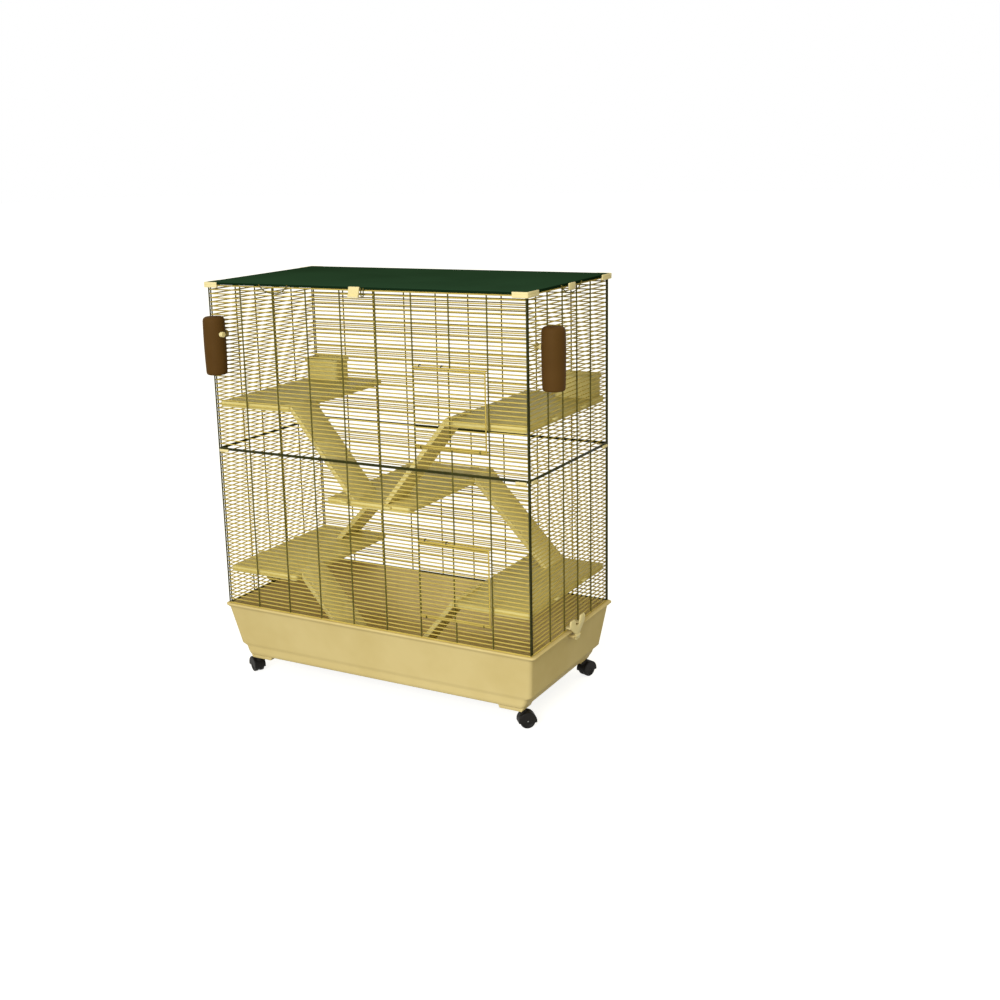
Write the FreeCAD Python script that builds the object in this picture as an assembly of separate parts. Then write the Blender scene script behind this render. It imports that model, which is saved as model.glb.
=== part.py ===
import FreeCAD, Part
import math
import os

V = FreeCAD.Vector
os.makedirs("parts", exist_ok=True)

# Driving dimensions, millimetres. All sizes are drawn about the middle of the wire walls.
CAGE_W = 800.0          # between the corner post centre lines, left to right
CAGE_D = 400.0          # between the corner post centre lines, front to back
LOWER_H = 374.4         # lower storey, bottom rail to top rail
UPPER_H = 374.8         # upper storey, bottom rail to top rail
TRAY_H = 141.0          # tray, feet to rim
ROOF_H = 8.0            # top of the roof sheet above the top rail
FRONT_BAYS = 9          # spaces between the uprights of the front and back walls
SIDE_PITCH = 71.0       # uprights of the end walls
WIRE_PITCH = 9.4        # aimed spacing of the horizontal wires
ROD_R = 1.6             # upright wires, rails and door frames
WIRE_R = 1.2            # horizontal wires
POST_GAP = 6.5          # end uprights of the side panels stand this far in from the long panels
SILL_H = 51.5           # door sill above the bottom rail
HEAD_H = 220.0          # door head above the bottom rail
DOOR_FIRST = 6          # the door spans two bays from this upright
SHELF_LOW_H = 84.0      # shelf wires above the bottom rail of their storey
SHELF_MID_H = 281.0
SHELF_TOP_H = 104.0
PEG_H = 269.0           # canister pegs above the upper storey's bottom rail

# Clearances
RUN = 0.4               # between moving pieces
PLAY = 0.05             # round pins in their bores
LOOP_CLEAR = 0.3        # door rail in its wire loops
HOOK_GAP = 1.2          # tray clip hooks to the rail and the first wire
ROOF_GAP = 1.2          # roof sheet to the corner caps
SHELF_GAP = 1.4         # shelf ends to the wires

# Casters
WHEEL_R = 17.0
WHEEL_W = 10.0
TRAIL = 9.0             # wheel axle behind the stem
AXLE_R = 2.0
STEM_R = 4.0
WEB = 3.0               # middle web between the two wheels
HOOD_WALL = 2.4
HOOD_EDGE = 2.0
HOOD_SIDE = 1.2
CASTER_IN_X = 42.0      # stems in from the corner posts
CASTER_IN_Y = 40.0
CASTER_TURN = {"front_left": 150.0, "front_right": 40.0, "back_left": 120.0, "back_right": 70.0}

HX = CAGE_W / 2
HY = CAGE_D / 2
FRONT_PITCH = CAGE_W / FRONT_BAYS
SIDE_END = HY - POST_GAP
WIRE_IN = ROD_R + WIRE_R            # horizontals are welded to the inner side of the uprights
FACE_IN = ROD_R + 2 * WIRE_R        # inner face of a wall, in from its upright centre lines
FOOT_Z = 2 * WHEEL_R + 1.0 + HOOD_WALL + 3.6
RIM_Z = FOOT_Z + TRAY_H


class Tier:
    """One storey of wire panels between its bottom and top rails."""

    def __init__(self, bottom, height):
        self.bottom = bottom
        self.top = bottom + height
        self.gaps = round(height / WIRE_PITCH)
        self.pitch = height / self.gaps

    def level(self, step):
        return self.bottom + step * self.pitch

    def on_wire(self, height):
        """Level of the horizontal wire nearest a height above the bottom rail."""
        return self.level(round(height / self.pitch))

    def between(self, height):
        """Level half-way between the two wires round a height above the bottom rail."""
        return self.level(math.floor(height / self.pitch) + 0.5)


LOWER = Tier(RIM_Z + ROD_R, LOWER_H)
UPPER = Tier(LOWER.top + 2 * ROD_R, UPPER_H)
ROOF_Z = UPPER.top + ROOF_H

# Canisters, tray clips and corner caps reach furthest out, so they set the outer box.
CAN_R = 26.0
CAN_TAPER = 1.2         # narrower at the bottom by this much
CAN_UP = 43.0           # canister above and below its peg
CAN_DOWN = 88.0
KNOB_L = 5.0
KNOB_OUT = ROD_R + RUN  # knob beyond the upright centre lines
CAN_OUT = KNOB_OUT + KNOB_L + CAN_R - CAN_TAPER * CAN_UP / (CAN_UP + CAN_DOWN)
RIM_OUT_X = 11.0        # tray rim beyond the post centre lines
RIM_OUT_Y = 7.0
CLIP_T = 4.0
CLIP_OUT = RIM_OUT_X + 2.0 + CLIP_T / 2
PIN_R = 1.2
CLIP_SKIN = 2.0         # round the pin of a tray clip
LUG_SKIN = 1.2          # round the same pin in the tray's lugs
ROOF_OUT = ROD_R + 2.4  # outer face of the roof beyond the post centre lines
CAP_WALL = 3.8
CAP_OUT = ROOF_OUT + ROOF_GAP + CAP_WALL

# The origin is on the floor under the middle of the outer box.
CENTRE_X = (CAN_OUT + CAN_R - CLIP_OUT - PIN_R - CLIP_SKIN) / 2
CENTRE_Y = (CAP_OUT - CAN_OUT - CAN_R) / 2


def save(name, solids):
    """Write one node about the origin; a node may hold several separate solids."""
    shape = solids[0].copy() if len(solids) == 1 else Part.makeCompound(solids)
    shape.translate(V(-CENTRE_X, -CENTRE_Y, 0))
    shape.exportStep("parts/" + name + ".step")


def box(x0, x1, y0, y1, z0, z1):
    """A block between two corners, given in either order."""
    low = V(min(x0, x1), min(y0, y1), min(z0, z1))
    return Part.makeBox(abs(x1 - x0), abs(y1 - y0), abs(z1 - z0), low)


def rod(start, end, radius):
    """A straight wire from start to end."""
    direction = end.sub(start)
    return Part.makeCylinder(radius, direction.Length, start, direction)


def slab_xz(points, y0, y1):
    """A profile drawn in the XZ plane and drawn out from y0 to y1."""
    wire = Part.makePolygon([V(x, y0, z) for x, z in points + points[:1]])
    return Part.Face(wire).extrude(V(0, y1 - y0, 0))


def slab_yz(points, x0, x1):
    """A profile drawn in the YZ plane and drawn out from x0 to x1."""
    wire = Part.makePolygon([V(x0, y, z) for y, z in points + points[:1]])
    return Part.Face(wire).extrude(V(x1 - x0, 0, 0))


def round_corners(shape, radius):
    """Round the upright edges of a block."""
    return shape.makeFillet(radius, [e for e in shape.Edges if abs(e.tangentAt(e.FirstParameter).z) > 0.9])


def rounded_wire(in_x, in_y, radius, z):
    """A rectangle with rounded corners at height z, inset from the post lines."""
    plate = round_corners(box(in_x - HX, HX - in_x, in_y - HY, HY - in_y, z, z + 1.0), radius)
    bottom = min(plate.Faces, key=lambda f: f.CenterOfMass.z)
    return bottom.OuterWire


def tapered(levels):
    """A solid through rounded rectangles, listed upwards as (in_x, in_y, radius, z)."""
    pieces = []
    for low, high in zip(levels, levels[1:]):
        pieces.append(Part.makeLoft([rounded_wire(*low), rounded_wire(*high)], True, True))
    return joined(pieces)


def joined(shapes):
    solid = shapes[0]
    for shape in shapes[1:]:
        solid = solid.fuse(shape)
    return solid.removeSplitter()


# Base tray: moulded shell with a rolled rim, a stepped skirt and four corner feet.
TRAY_WALL = 4.0
ARCH_Z = FOOT_Z + 9.0
FLOOR_Z = ARCH_Z + TRAY_WALL
STEP_LOW = 21.0         # the skirt's step, above the underside
STEP_HIGH = 28.0
FOOT_IN = (31.0, 21.0)  # outside of the skirt, in from the post lines, at its foot
LOW_IN = (22.0, 20.0)   # below the step
HIGH_IN = (11.0, 17.5)  # above the step
TOP_IN = (-3.0, 1.0)    # under the rim
FOOT_REACH = (54.0, 10.0, 31.0, 15.0)   # corner feet round a stem: inwards, out, inwards, out
FOOT_SLANT = 5.0
TRAY_CORNER = 9.0
ROOM_CORNER = 6.0
RIM_DROP = 13.0
RIM_SKIN = 3.0
CLIP_PIVOT_X = HX + CLIP_OUT
CLIP_PIVOT_Z = RIM_Z - RIM_DROP - 3.0
LUG_IN = 10.6           # lugs either side of a clip
LUG_T = 4.0
CASTER_XY = []
for row, sy in (("front", -1), ("back", 1)):
    for end, sx in (("left", -1), ("right", 1)):
        CASTER_XY.append((row + "_" + end, sx, sy))


def clip_pin(side, half_length, radius):
    """A rod on the turning axis of one tray clip."""
    x = side * CLIP_PIVOT_X
    return rod(V(x, -half_length, CLIP_PIVOT_Z), V(x, half_length, CLIP_PIVOT_Z), radius)


def tray_room(inset):
    """The hollow of the tray, drawn in by an inset."""
    gap = TRAY_WALL + inset
    rows = [(FOOT_IN, FLOOR_Z), (LOW_IN, ARCH_Z + STEP_LOW + 1.0),
            (HIGH_IN, ARCH_Z + STEP_HIGH + 2.0), (TOP_IN, RIM_Z + 1.0)]
    return [(at[0] + gap, at[1] + gap, ROOM_CORNER, z) for at, z in rows]


def make_tray():
    slope_in = (FOOT_IN[0] + LOW_IN[0]) / 2 - 0.5, (FOOT_IN[1] + LOW_IN[1]) / 2
    rows = [(FOOT_IN, ARCH_Z), (slope_in, ARCH_Z + 9.0), (LOW_IN, ARCH_Z + STEP_LOW),
            (HIGH_IN, ARCH_Z + STEP_HIGH), (TOP_IN, RIM_Z - RIM_SKIN + 1.0)]
    outside = tapered([(at[0], at[1], TRAY_CORNER, z) for at, z in rows])
    rim = tapered([(2.0 - RIM_OUT_X, 2.0 - RIM_OUT_Y, TRAY_CORNER, RIM_Z - RIM_DROP),
                   (-RIM_OUT_X, -RIM_OUT_Y, TRAY_CORNER + 2.0, RIM_Z - RIM_DROP + 5.0),
                   (-RIM_OUT_X, -RIM_OUT_Y, TRAY_CORNER + 2.0, RIM_Z - 2.0),
                   (2.0 - RIM_OUT_X, 2.0 - RIM_OUT_Y, TRAY_CORNER, RIM_Z)])
    under_x = RIM_SKIN + 0.5 - RIM_OUT_X
    under_y = RIM_SKIN + 0.5 - RIM_OUT_Y
    under_rim = tapered([(under_x, under_y, ROOM_CORNER, RIM_Z - RIM_DROP - 1.0),
                         (under_x - 0.5, under_y - 0.5, ROOM_CORNER, RIM_Z - RIM_SKIN - 1.0)])
    pieces = [outside, rim.cut(under_rim)]
    for name, sx, sy in CASTER_XY:
        x = sx * (HX - CASTER_IN_X)
        y = sy * (HY - CASTER_IN_Y)
        inner = x - sx * FOOT_REACH[0]
        outer = x + sx * FOOT_REACH[1]
        foot = [(inner, ARCH_Z + 2.0), (inner + sx * FOOT_SLANT, FOOT_Z), (outer - sx * FOOT_SLANT, FOOT_Z),
                (outer, ARCH_Z + 2.0)]
        pieces.append(slab_xz(foot, y - sy * FOOT_REACH[2], y + sy * FOOT_REACH[3]))
    for side in (-1, 1):
        for y in (-LUG_IN - LUG_T, LUG_IN):
            pieces.append(box(side * (HX - 12.0), side * (CLIP_PIVOT_X + PIN_R + LUG_SKIN), y, y + LUG_T,
                              CLIP_PIVOT_Z - PIN_R - 1.6, CLIP_PIVOT_Z + PIN_R + 1.6))
    tray = joined(pieces).cut(tapered(tray_room(0.0)))
    for side in (-1, 1):
        tray = tray.cut(clip_pin(side, LUG_IN + LUG_T, PIN_R))
    for name, sx, sy in CASTER_XY:
        tray = tray.cut(caster_stem(sx, sy))
    return tray.removeSplitter()


# Twin-wheel casters: a fixed stem, a swivelling hood, one axle and two wheels each.
def caster_stem(sx, sy):
    x = sx * (HX - CASTER_IN_X)
    y = sy * (HY - CASTER_IN_Y)
    return rod(V(x, y, FOOT_Z - 8.0), V(x, y, FLOOR_Z - 2.0), STEM_R)


def make_hood():
    """Hood in its own frame: stem axis on Z, wheels trailing along +X, floor at z = 0."""
    pocket_w = WHEEL_W + 3 * RUN
    width = WEB + 2 * pocket_w + 2 * HOOD_SIDE
    pocket_r = WHEEL_R + 1.0
    shell = Part.makeCylinder(pocket_r + HOOD_WALL, width, V(TRAIL, -width / 2, WHEEL_R), V(0, 1, 0))
    shell = shell.makeFillet(HOOD_EDGE, [e for e in shell.Edges if e.Closed])
    shell = shell.common(box(TRAIL - 60, TRAIL + 60, -width, width, WHEEL_R - 3.0, 4 * WHEEL_R))
    for start in (WEB / 2, -WEB / 2 - pocket_w):
        shell = shell.cut(Part.makeCylinder(pocket_r, pocket_w, V(TRAIL, start, WHEEL_R), V(0, 1, 0)))
    web = Part.makeCylinder(AXLE_R + 4.0, WEB, V(TRAIL, -WEB / 2, WHEEL_R), V(0, 1, 0))
    web = web.fuse(box(TRAIL - 6.0, TRAIL + 6.0, -WEB / 2, WEB / 2, WHEEL_R, 2 * WHEEL_R + 1.5))
    neck = Part.makeCylinder(STEM_R + 4.0, 12.0, V(0, 0, FOOT_Z - RUN - 12.0))
    neck = neck.cut(Part.makeCylinder(pocket_r, 2 * width, V(TRAIL, -width, WHEEL_R), V(0, 1, 0)))
    hood = joined([shell, web, neck])
    hood = hood.cut(Part.makeCylinder(STEM_R + PLAY, 30.0, V(0, 0, FOOT_Z - 9.0)))
    hood = hood.cut(Part.makeCylinder(AXLE_R, 2 * width, V(TRAIL, -width, WHEEL_R), V(0, 1, 0)))
    return max(hood.Solids, key=lambda s: s.Volume)


def make_wheel(side):
    width = WHEEL_W - 0.6
    start = WEB / 2 + 0.5 if side > 0 else -WEB / 2 - 0.5 - width
    wheel = Part.makeCylinder(WHEEL_R, width, V(TRAIL, start, WHEEL_R), V(0, 1, 0))
    wheel = wheel.makeChamfer(1.5, [e for e in wheel.Edges if e.Closed])
    return wheel.cut(Part.makeCylinder(AXLE_R + PLAY, width, V(TRAIL, start, WHEEL_R), V(0, 1, 0)))


def place_caster(shape, name, sx, sy):
    moved = shape.copy()
    moved.rotate(V(0, 0, 0), V(0, 0, 1), CASTER_TURN[name])
    moved.translate(V(sx * (HX - CASTER_IN_X), sy * (HY - CASTER_IN_Y), 0))
    return moved


save("base_tray", [make_tray()])
axle_half = WEB / 2 + WHEEL_W
caster_pieces = {"hood": make_hood(),
                 "axle": rod(V(TRAIL, -axle_half, WHEEL_R), V(TRAIL, axle_half, WHEEL_R), AXLE_R),
                 "inner_wheel": make_wheel(-1),
                 "outer_wheel": make_wheel(1)}
for corner in CASTER_XY:
    for label, piece in caster_pieces.items():
        save("caster_" + label + "_" + corner[0], [place_caster(piece, *corner)])
save("caster_stems", [caster_stem(sx, sy) for name, sx, sy in CASTER_XY])


# Tray clips: forked latches that hook over the bottom rail at both ends of the tray.
CLIP_RISE = 26.0        # top of the fork above the tray rim
CLIP_TAIL = 8.0         # thumb tail below the pivot
CLIP_NOTCH = 18.0
HOOK_IN = 17.0          # hooks, out from the middle of the clip
HOOK_W = 10.0


def make_tray_clip(side):
    z = CLIP_PIVOT_Z
    top = RIM_Z + CLIP_RISE
    hook_low = LOWER.bottom + ROD_R + HOOK_GAP
    hook_high = LOWER.level(1) - WIRE_R - HOOK_GAP
    neck = LUG_IN - RUN
    wing = SIDE_PITCH / 2 + 2.0
    half = [(neck - 1.2, z - CLIP_TAIL), (neck, z), (neck, z + 5.0), (wing - 2.0, top - CLIP_NOTCH + 1.0),
            (wing, top - 6.0), (wing - 4.0, top), (wing - 21.0, top), (neck - 2.2, top - CLIP_NOTCH)]
    fork = half + [(-y, height) for y, height in reversed(half)]
    clip = slab_yz(fork, side * CLIP_PIVOT_X - CLIP_T / 2, side * CLIP_PIVOT_X + CLIP_T / 2)
    tip = HX - ROD_R - 0.4
    for y in (-HOOK_IN - HOOK_W, HOOK_IN):
        clip = clip.fuse(box(side * tip, side * CLIP_PIVOT_X, y, y + HOOK_W, hook_low, hook_high))
    clip = clip.fuse(clip_pin(side, neck, PIN_R + CLIP_SKIN))
    return clip.cut(clip_pin(side, neck + 1.0, PIN_R + PLAY)).removeSplitter()


save("tray_clip_left", [make_tray_clip(-1)])
save("tray_clip_right", [make_tray_clip(1)])
save("tray_clip_pins", [clip_pin(side, LUG_IN + LUG_T, PIN_R) for side in (-1, 1)])


# Wire panels: uprights between two rails, horizontals welded across their inner side.
def upright_x(i):
    return -HX + i * FRONT_PITCH


DOOR_X = (upright_x(DOOR_FIRST), upright_x(DOOR_FIRST + 2))
DOOR_MID = upright_x(DOOR_FIRST + 1)


def long_panel(tier, y, doorway):
    """Front or back panel; y is the upright plane and the inside lies towards y = 0."""
    inner = y - math.copysign(WIRE_IN, y)
    sill = tier.between(SILL_H)
    head = tier.between(HEAD_H)
    low = tier.bottom + ROD_R
    high = tier.top - ROD_R
    solids = []
    for z in (tier.bottom, tier.top):
        solids.append(rod(V(-HX - ROD_R, y, z), V(HX + ROD_R, y, z), ROD_R))
    for i in range(FRONT_BAYS + 1):
        x = upright_x(i)
        if doorway and i == DOOR_FIRST + 1:
            solids.append(rod(V(x, y, low), V(x, y, sill - ROD_R), ROD_R))
            solids.append(rod(V(x, y, head + ROD_R), V(x, y, high), ROD_R))
        else:
            solids.append(rod(V(x, y, low), V(x, y, high), ROD_R))
    for i in range(1, tier.gaps):
        z = tier.level(i)
        if doorway and sill < z < head:
            solids.append(rod(V(-HX, inner, z), V(DOOR_X[0], inner, z), WIRE_R))
            solids.append(rod(V(DOOR_X[1], inner, z), V(HX, inner, z), WIRE_R))
        else:
            solids.append(rod(V(-HX, inner, z), V(HX, inner, z), WIRE_R))
    if doorway:
        for z in (sill, head):
            solids.append(rod(V(DOOR_X[0] + ROD_R, y, z), V(DOOR_X[1] - ROD_R, y, z), ROD_R))
    return solids


def side_panel(tier, x):
    """Left or right panel; x is the upright plane and the inside lies towards x = 0."""
    inner = x - math.copysign(WIRE_IN, x)
    solids = []
    for z in (tier.bottom, tier.top):
        solids.append(rod(V(x, -SIDE_END - ROD_R, z), V(x, SIDE_END + ROD_R, z), ROD_R))
    for y in [-SIDE_END] + [SIDE_PITCH * (i - 1.5) for i in range(4)] + [SIDE_END]:
        solids.append(rod(V(x, y, tier.bottom + ROD_R), V(x, y, tier.top - ROD_R), ROD_R))
    for i in range(1, tier.gaps):
        z = tier.level(i)
        solids.append(rod(V(inner, -SIDE_END, z), V(inner, SIDE_END, z), WIRE_R))
    return solids


for label, tier in (("lower", LOWER), ("upper", UPPER)):
    save(label + "_front_panel", long_panel(tier, -HY, True))
    save(label + "_back_panel", long_panel(tier, HY, False))
    save(label + "_left_panel", side_panel(tier, -HX))
    save(label + "_right_panel", side_panel(tier, HX))


# Drop-down doors: a wire frame turning on its bottom rail inside loops on the door sill.
LOOP_WIRE = 0.9
LOOP_R = ROD_R + LOOP_CLEAR + LOOP_WIRE
DOOR_Y = -HY - ROD_R - LOOP_R - LOOP_WIRE
DOOR_INSET = 4.0
LOOP_INSET = 18.0
SNAP_R = 1.1            # bent wire snaps on the door top
SNAP_FOOT_R = 1.3       # their welded feet
SNAP_RISE = 5.4


def make_door(tier):
    sill = tier.between(SILL_H)
    head = tier.between(HEAD_H)
    x0 = DOOR_X[0] + DOOR_INSET
    x1 = DOOR_X[1] - DOOR_INSET
    solids = []
    for z in (sill, head):
        solids.append(rod(V(x0 - ROD_R, DOOR_Y, z), V(x1 + ROD_R, DOOR_Y, z), ROD_R))
    for x in (x0, DOOR_MID, x1):
        solids.append(rod(V(x, DOOR_Y, sill + ROD_R), V(x, DOOR_Y, head - ROD_R), ROD_R))
    for i in range(1, tier.gaps):
        z = tier.level(i)
        if sill < z < head:
            solids.append(rod(V(x0, DOOR_Y - WIRE_IN, z), V(x1, DOOR_Y - WIRE_IN, z), WIRE_R))
    return solids


def make_door_hooks(tier):
    """Bent wire snaps on the door top that lie over the head wire."""
    head = tier.between(HEAD_H)
    arm_z = head + SNAP_RISE
    solids = []
    for x in (DOOR_X[0] + LOOP_INSET, DOOR_MID - LOOP_INSET):
        post = rod(V(x, DOOR_Y, head + ROD_R), V(x, DOOR_Y, arm_z + 0.6), SNAP_FOOT_R)
        arm = rod(V(x, DOOR_Y - SNAP_R, arm_z), V(x, -HY + ROD_R - 0.8, arm_z), SNAP_R)
        solids.append(post.fuse(arm))
    return solids


loops = []
for label, tier in (("lower", LOWER), ("upper", UPPER)):
    save(label + "_door", make_door(tier))
    save(label + "_door_hooks", make_door_hooks(tier))
    for x in (DOOR_X[0] + LOOP_INSET, DOOR_X[1] - LOOP_INSET):
        loops.append(Part.makeTorus(LOOP_R, LOOP_WIRE, V(x, DOOR_Y, tier.between(SILL_H)), V(1, 0, 0)))
save("door_hinge_loops", loops)

# Corner pieces: clips that tie the two storeys, and caps on top of the posts.
ROOF_WALL = 2.2
ROOF_SKIN = 2.4
CAP_ARM_X = 44.0
CAP_ARM_Y = 64.0
CAP_PLATE = 30.0        # depth of the cap's top plate, which fills a corner of the roof
CLIP_ARM = 29.0
CLIP_WALL = 5.4
CLIP_HALF = 6.5
NOSE_R = 3.0


def corner_angle(sx, sy, arm_x, arm_y, inner, outer, z0, z1):
    """An L of two walls round one corner, from the inner to the outer offset."""
    front = box(sx * (HX + outer - arm_x), sx * (HX + outer), sy * (HY + inner), sy * (HY + outer), z0, z1)
    end = box(sx * (HX + inner), sx * (HX + outer), sy * (HY + outer - arm_y), sy * (HY + outer), z0, z1)
    return front.fuse(end).removeSplitter()


def round_nose(angle, sx, sy, outer):
    """Round the outermost upright edge of a corner piece."""
    def off_nose(edge):
        at = edge.CenterOfMass
        return abs(at.x - sx * (HX + outer)) + abs(at.y - sy * (HY + outer))
    return angle.makeFillet(NOSE_R, [e for e in angle.Edges if off_nose(e) < 0.01])


clips = []
caps = []
mid_z = (LOWER.top + UPPER.bottom) / 2
clip_out = ROD_R + CLIP_WALL
lip = ROOF_OUT + ROOF_GAP
cap_z = UPPER.top + ROD_R + 0.4
plate_x = HX + CAP_OUT - CAP_ARM_X
plate_y = HY + CAP_OUT - CAP_PLATE
for sx, sy in ((-1, -1), (1, -1), (-1, 1), (1, 1)):
    clip = corner_angle(sx, sy, CLIP_ARM, CLIP_ARM, ROD_R, clip_out, mid_z - CLIP_HALF, mid_z + CLIP_HALF)
    clips.append(round_nose(clip, sx, sy, clip_out))
    base = corner_angle(sx, sy, CAP_ARM_X, CAP_ARM_Y, ROD_R, CAP_OUT, UPPER.top - 4.0, cap_z)
    wall = corner_angle(sx, sy, CAP_ARM_X, CAP_ARM_Y, lip, CAP_OUT, cap_z, ROOF_Z)
    plate = box(sx * plate_x, sx * (HX + CAP_OUT), sy * plate_y, sy * (HY + CAP_OUT), cap_z, ROOF_Z)
    caps.append(round_nose(joined([base, wall, plate]), sx, sy, CAP_OUT))
save("mid_corner_clips", clips)
save("roof_corner_caps", caps)

# Roof: a shallow pressed sheet that turns up about the back top rail.
SKIRT_LOW = UPPER.top + ROD_R + 0.8
ROOF_X = HX + ROOF_OUT
ROOF_Y = HY + ROOF_OUT
TAB_T = 4.0             # plastic tabs on the roof's edges
TAB_HALF = 15.0
KNUCKLE_R = ROD_R + 2.3
HINGE_PAST = 27.0       # outer hinge clips, in from the second uprights
BAIL_R = 1.3
BAIL_HALF = 50.0
TAB_MID = -2.0          # the front tab stands a little left of the middle
LOOP_NEAR = 15.0        # small wire loop beside the front tab
LOOP_FAR = 21.0
ROOF_EDGE = 0.8


def make_roof():
    """A shallow pan open below, with its four corners cut out round the corner caps."""
    under = ROOF_Z - ROOF_SKIN
    pan = box(-ROOF_X, ROOF_X, -ROOF_Y, ROOF_Y, SKIRT_LOW, ROOF_Z)
    in_x = ROOF_X - ROOF_WALL
    pan = pan.cut(box(-in_x, in_x, ROOF_WALL - ROOF_Y, ROOF_Y - 1.8, SKIRT_LOW - 1.0, under))
    pan = pan.cut(box(-ROOF_X, ROOF_X, HY - 1.0, ROOF_Y + 1.0, SKIRT_LOW - 1.0, SKIRT_LOW + 1.0))
    notch_x = plate_x - ROOF_GAP
    notch_y = plate_y - ROOF_GAP
    for sx, sy in ((-1, -1), (1, -1), (-1, 1), (1, 1)):
        pan = pan.cut(box(sx * notch_x, sx * (ROOF_X + 1.0), sy * notch_y, sy * (ROOF_Y + 1.0),
                          SKIRT_LOW - 1.0, ROOF_Z + 1.0))
    top_edges = [e for e in pan.Edges if abs(e.BoundBox.ZMin - ROOF_Z) < 0.01]
    return pan.makeFillet(ROOF_EDGE, top_edges)


def make_hinge_clip(x):
    """A tab on the roof's back edge with a knuckle round the top rail."""
    tab = box(x - TAB_HALF, x + TAB_HALF, ROOF_Y, ROOF_Y + TAB_T, UPPER.top - 1.0, ROOF_Z - 3.0)
    knuckle = rod(V(x - TAB_HALF, HY, UPPER.top), V(x + TAB_HALF, HY, UPPER.top), KNUCKLE_R)
    arm = box(x - TAB_HALF, x + TAB_HALF, HY, ROOF_Y + 1.0, UPPER.top - 1.0, SKIRT_LOW + 1.0)
    clip = joined([tab, knuckle, arm])
    return clip.cut(rod(V(x - 20.0, HY, UPPER.top), V(x + 20.0, HY, UPPER.top), ROD_R + PLAY))


save("roof_panel", [make_roof()])
hinge_x = (upright_x(2) + HINGE_PAST, upright_x(4.5), upright_x(7) - HINGE_PAST)
save("roof_hinge_clips", [make_hinge_clip(x) for x in hinge_x])

tab_low = UPPER.top - 15.0
tab_x = (TAB_MID - TAB_HALF, TAB_MID + TAB_HALF)
front_tab = box(*tab_x, -ROOF_Y - TAB_T, -ROOF_Y, tab_low, ROOF_Z)
front_grip = box(*tab_x, -ROOF_Y - TAB_T - 1.6, -ROOF_Y - TAB_T, tab_low, tab_low + 6.0)
save("roof_front_clip", [front_tab.fuse(front_grip).removeSplitter()])

side_tabs = []
bails = []
bail_low = UPPER.top - 13.0
for side in (-1, 1):
    tab_end = side * (ROOF_X + TAB_T)
    side_tabs.append(box(side * ROOF_X, tab_end, -TAB_HALF, TAB_HALF, UPPER.top - 8.0, ROOF_Z - 1.0))
    x = side * (ROOF_X + BAIL_R)
    for y in (-BAIL_HALF, BAIL_HALF):
        bails.append(rod(V(x, y, bail_low + BAIL_R), V(x, y, ROOF_Z - 2.0), BAIL_R))
    bails.append(rod(V(x, -BAIL_HALF - BAIL_R, bail_low), V(x, BAIL_HALF + BAIL_R, bail_low), BAIL_R))
for x in (LOOP_NEAR, LOOP_FAR):
    y = -ROOF_Y - BAIL_R
    bails.append(rod(V(x, y, tab_low + 2.0), V(x, y, ROOF_Z - 2.0), BAIL_R))
save("roof_side_clips", side_tabs)
save("roof_wire_bails", bails)

# Shelves: plates with a turned-down lip, standing on the wires with short hook tabs.
SHELF_X = HX - FACE_IN - SHELF_GAP
SHELF_Y = HY - FACE_IN - SHELF_GAP - 1.0
LIP = 13.0
SHEET = 3.0
SHELF_CORNER = 7.0
SHELF_EDGE = 1.2
HOOK_TAB = 4.0
TAB_PAST = 1.0          # tabs reach past the uprights' outer side
SHELF_RISE = WIRE_R + HOOK_TAB + 1.0
EDGE_TOP = 200.0        # inner edges of the upper and lower shelves
EDGE_LOW = 205.0
MID_HALF = 107.5        # half width of the middle shelf


def make_shelf(x0, x1, wire_z, tabs):
    """A shelf from x0 to x1; tabs are listed as (direction, place along that wall)."""
    top = wire_z + SHELF_RISE
    shelf = round_corners(box(x0, x1, -SHELF_Y, SHELF_Y, top - LIP, top), SHELF_CORNER)
    shelf = shelf.makeFillet(SHELF_EDGE, [e for e in shelf.Edges if abs(e.BoundBox.ZMin - top) < 0.01])
    low = wire_z + WIRE_R
    high = low + HOOK_TAB
    hollow = box(min(x0, x1) + SHEET, max(x0, x1) - SHEET, SHEET - SHELF_Y, SHELF_Y - SHEET,
                 top - LIP - 1.0, top - SHEET)
    shelf = shelf.cut(round_corners(hollow, SHELF_CORNER - SHEET))
    end_x = HX + ROD_R + TAB_PAST
    end_y = HY + ROD_R + TAB_PAST
    for direction, at in tabs:
        side = 1 if direction in ("right", "back") else -1
        if direction in ("left", "right"):
            tab = box(side * (SHELF_X - 1.0), side * end_x, at - 8.0, at + 8.0, low, high)
        else:
            tab = box(at - 8.0, at + 8.0, side * (SHELF_Y - 1.0), side * end_y, low, high)
        shelf = shelf.fuse(tab)
    return shelf.removeSplitter()


low_wire = LOWER.on_wire(SHELF_LOW_H)
mid_wire = LOWER.on_wire(SHELF_MID_H)
top_wire = UPPER.on_wire(SHELF_TOP_H)
mid_tab = FRONT_PITCH / 2 + ROD_R + 10.0
for label, wire_z, edge in (("upper", top_wire, EDGE_TOP), ("lower", low_wire, EDGE_LOW)):
    left_tabs = [("left", -SIDE_PITCH), ("left", SIDE_PITCH), ("back", upright_x(1.5))]
    right_tabs = [("right", -SIDE_PITCH), ("right", SIDE_PITCH), ("back", upright_x(7.5))]
    save(label + "_left_shelf", [make_shelf(-SHELF_X, -edge, wire_z, left_tabs)])
    save(label + "_right_shelf", [make_shelf(edge, SHELF_X, wire_z, right_tabs)])
mid_tabs = [(direction, x) for direction in ("back", "front") for x in (-mid_tab, mid_tab)]
save("middle_shelf", [make_shelf(-MID_HALF, MID_HALF, mid_wire, mid_tabs)])

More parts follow.
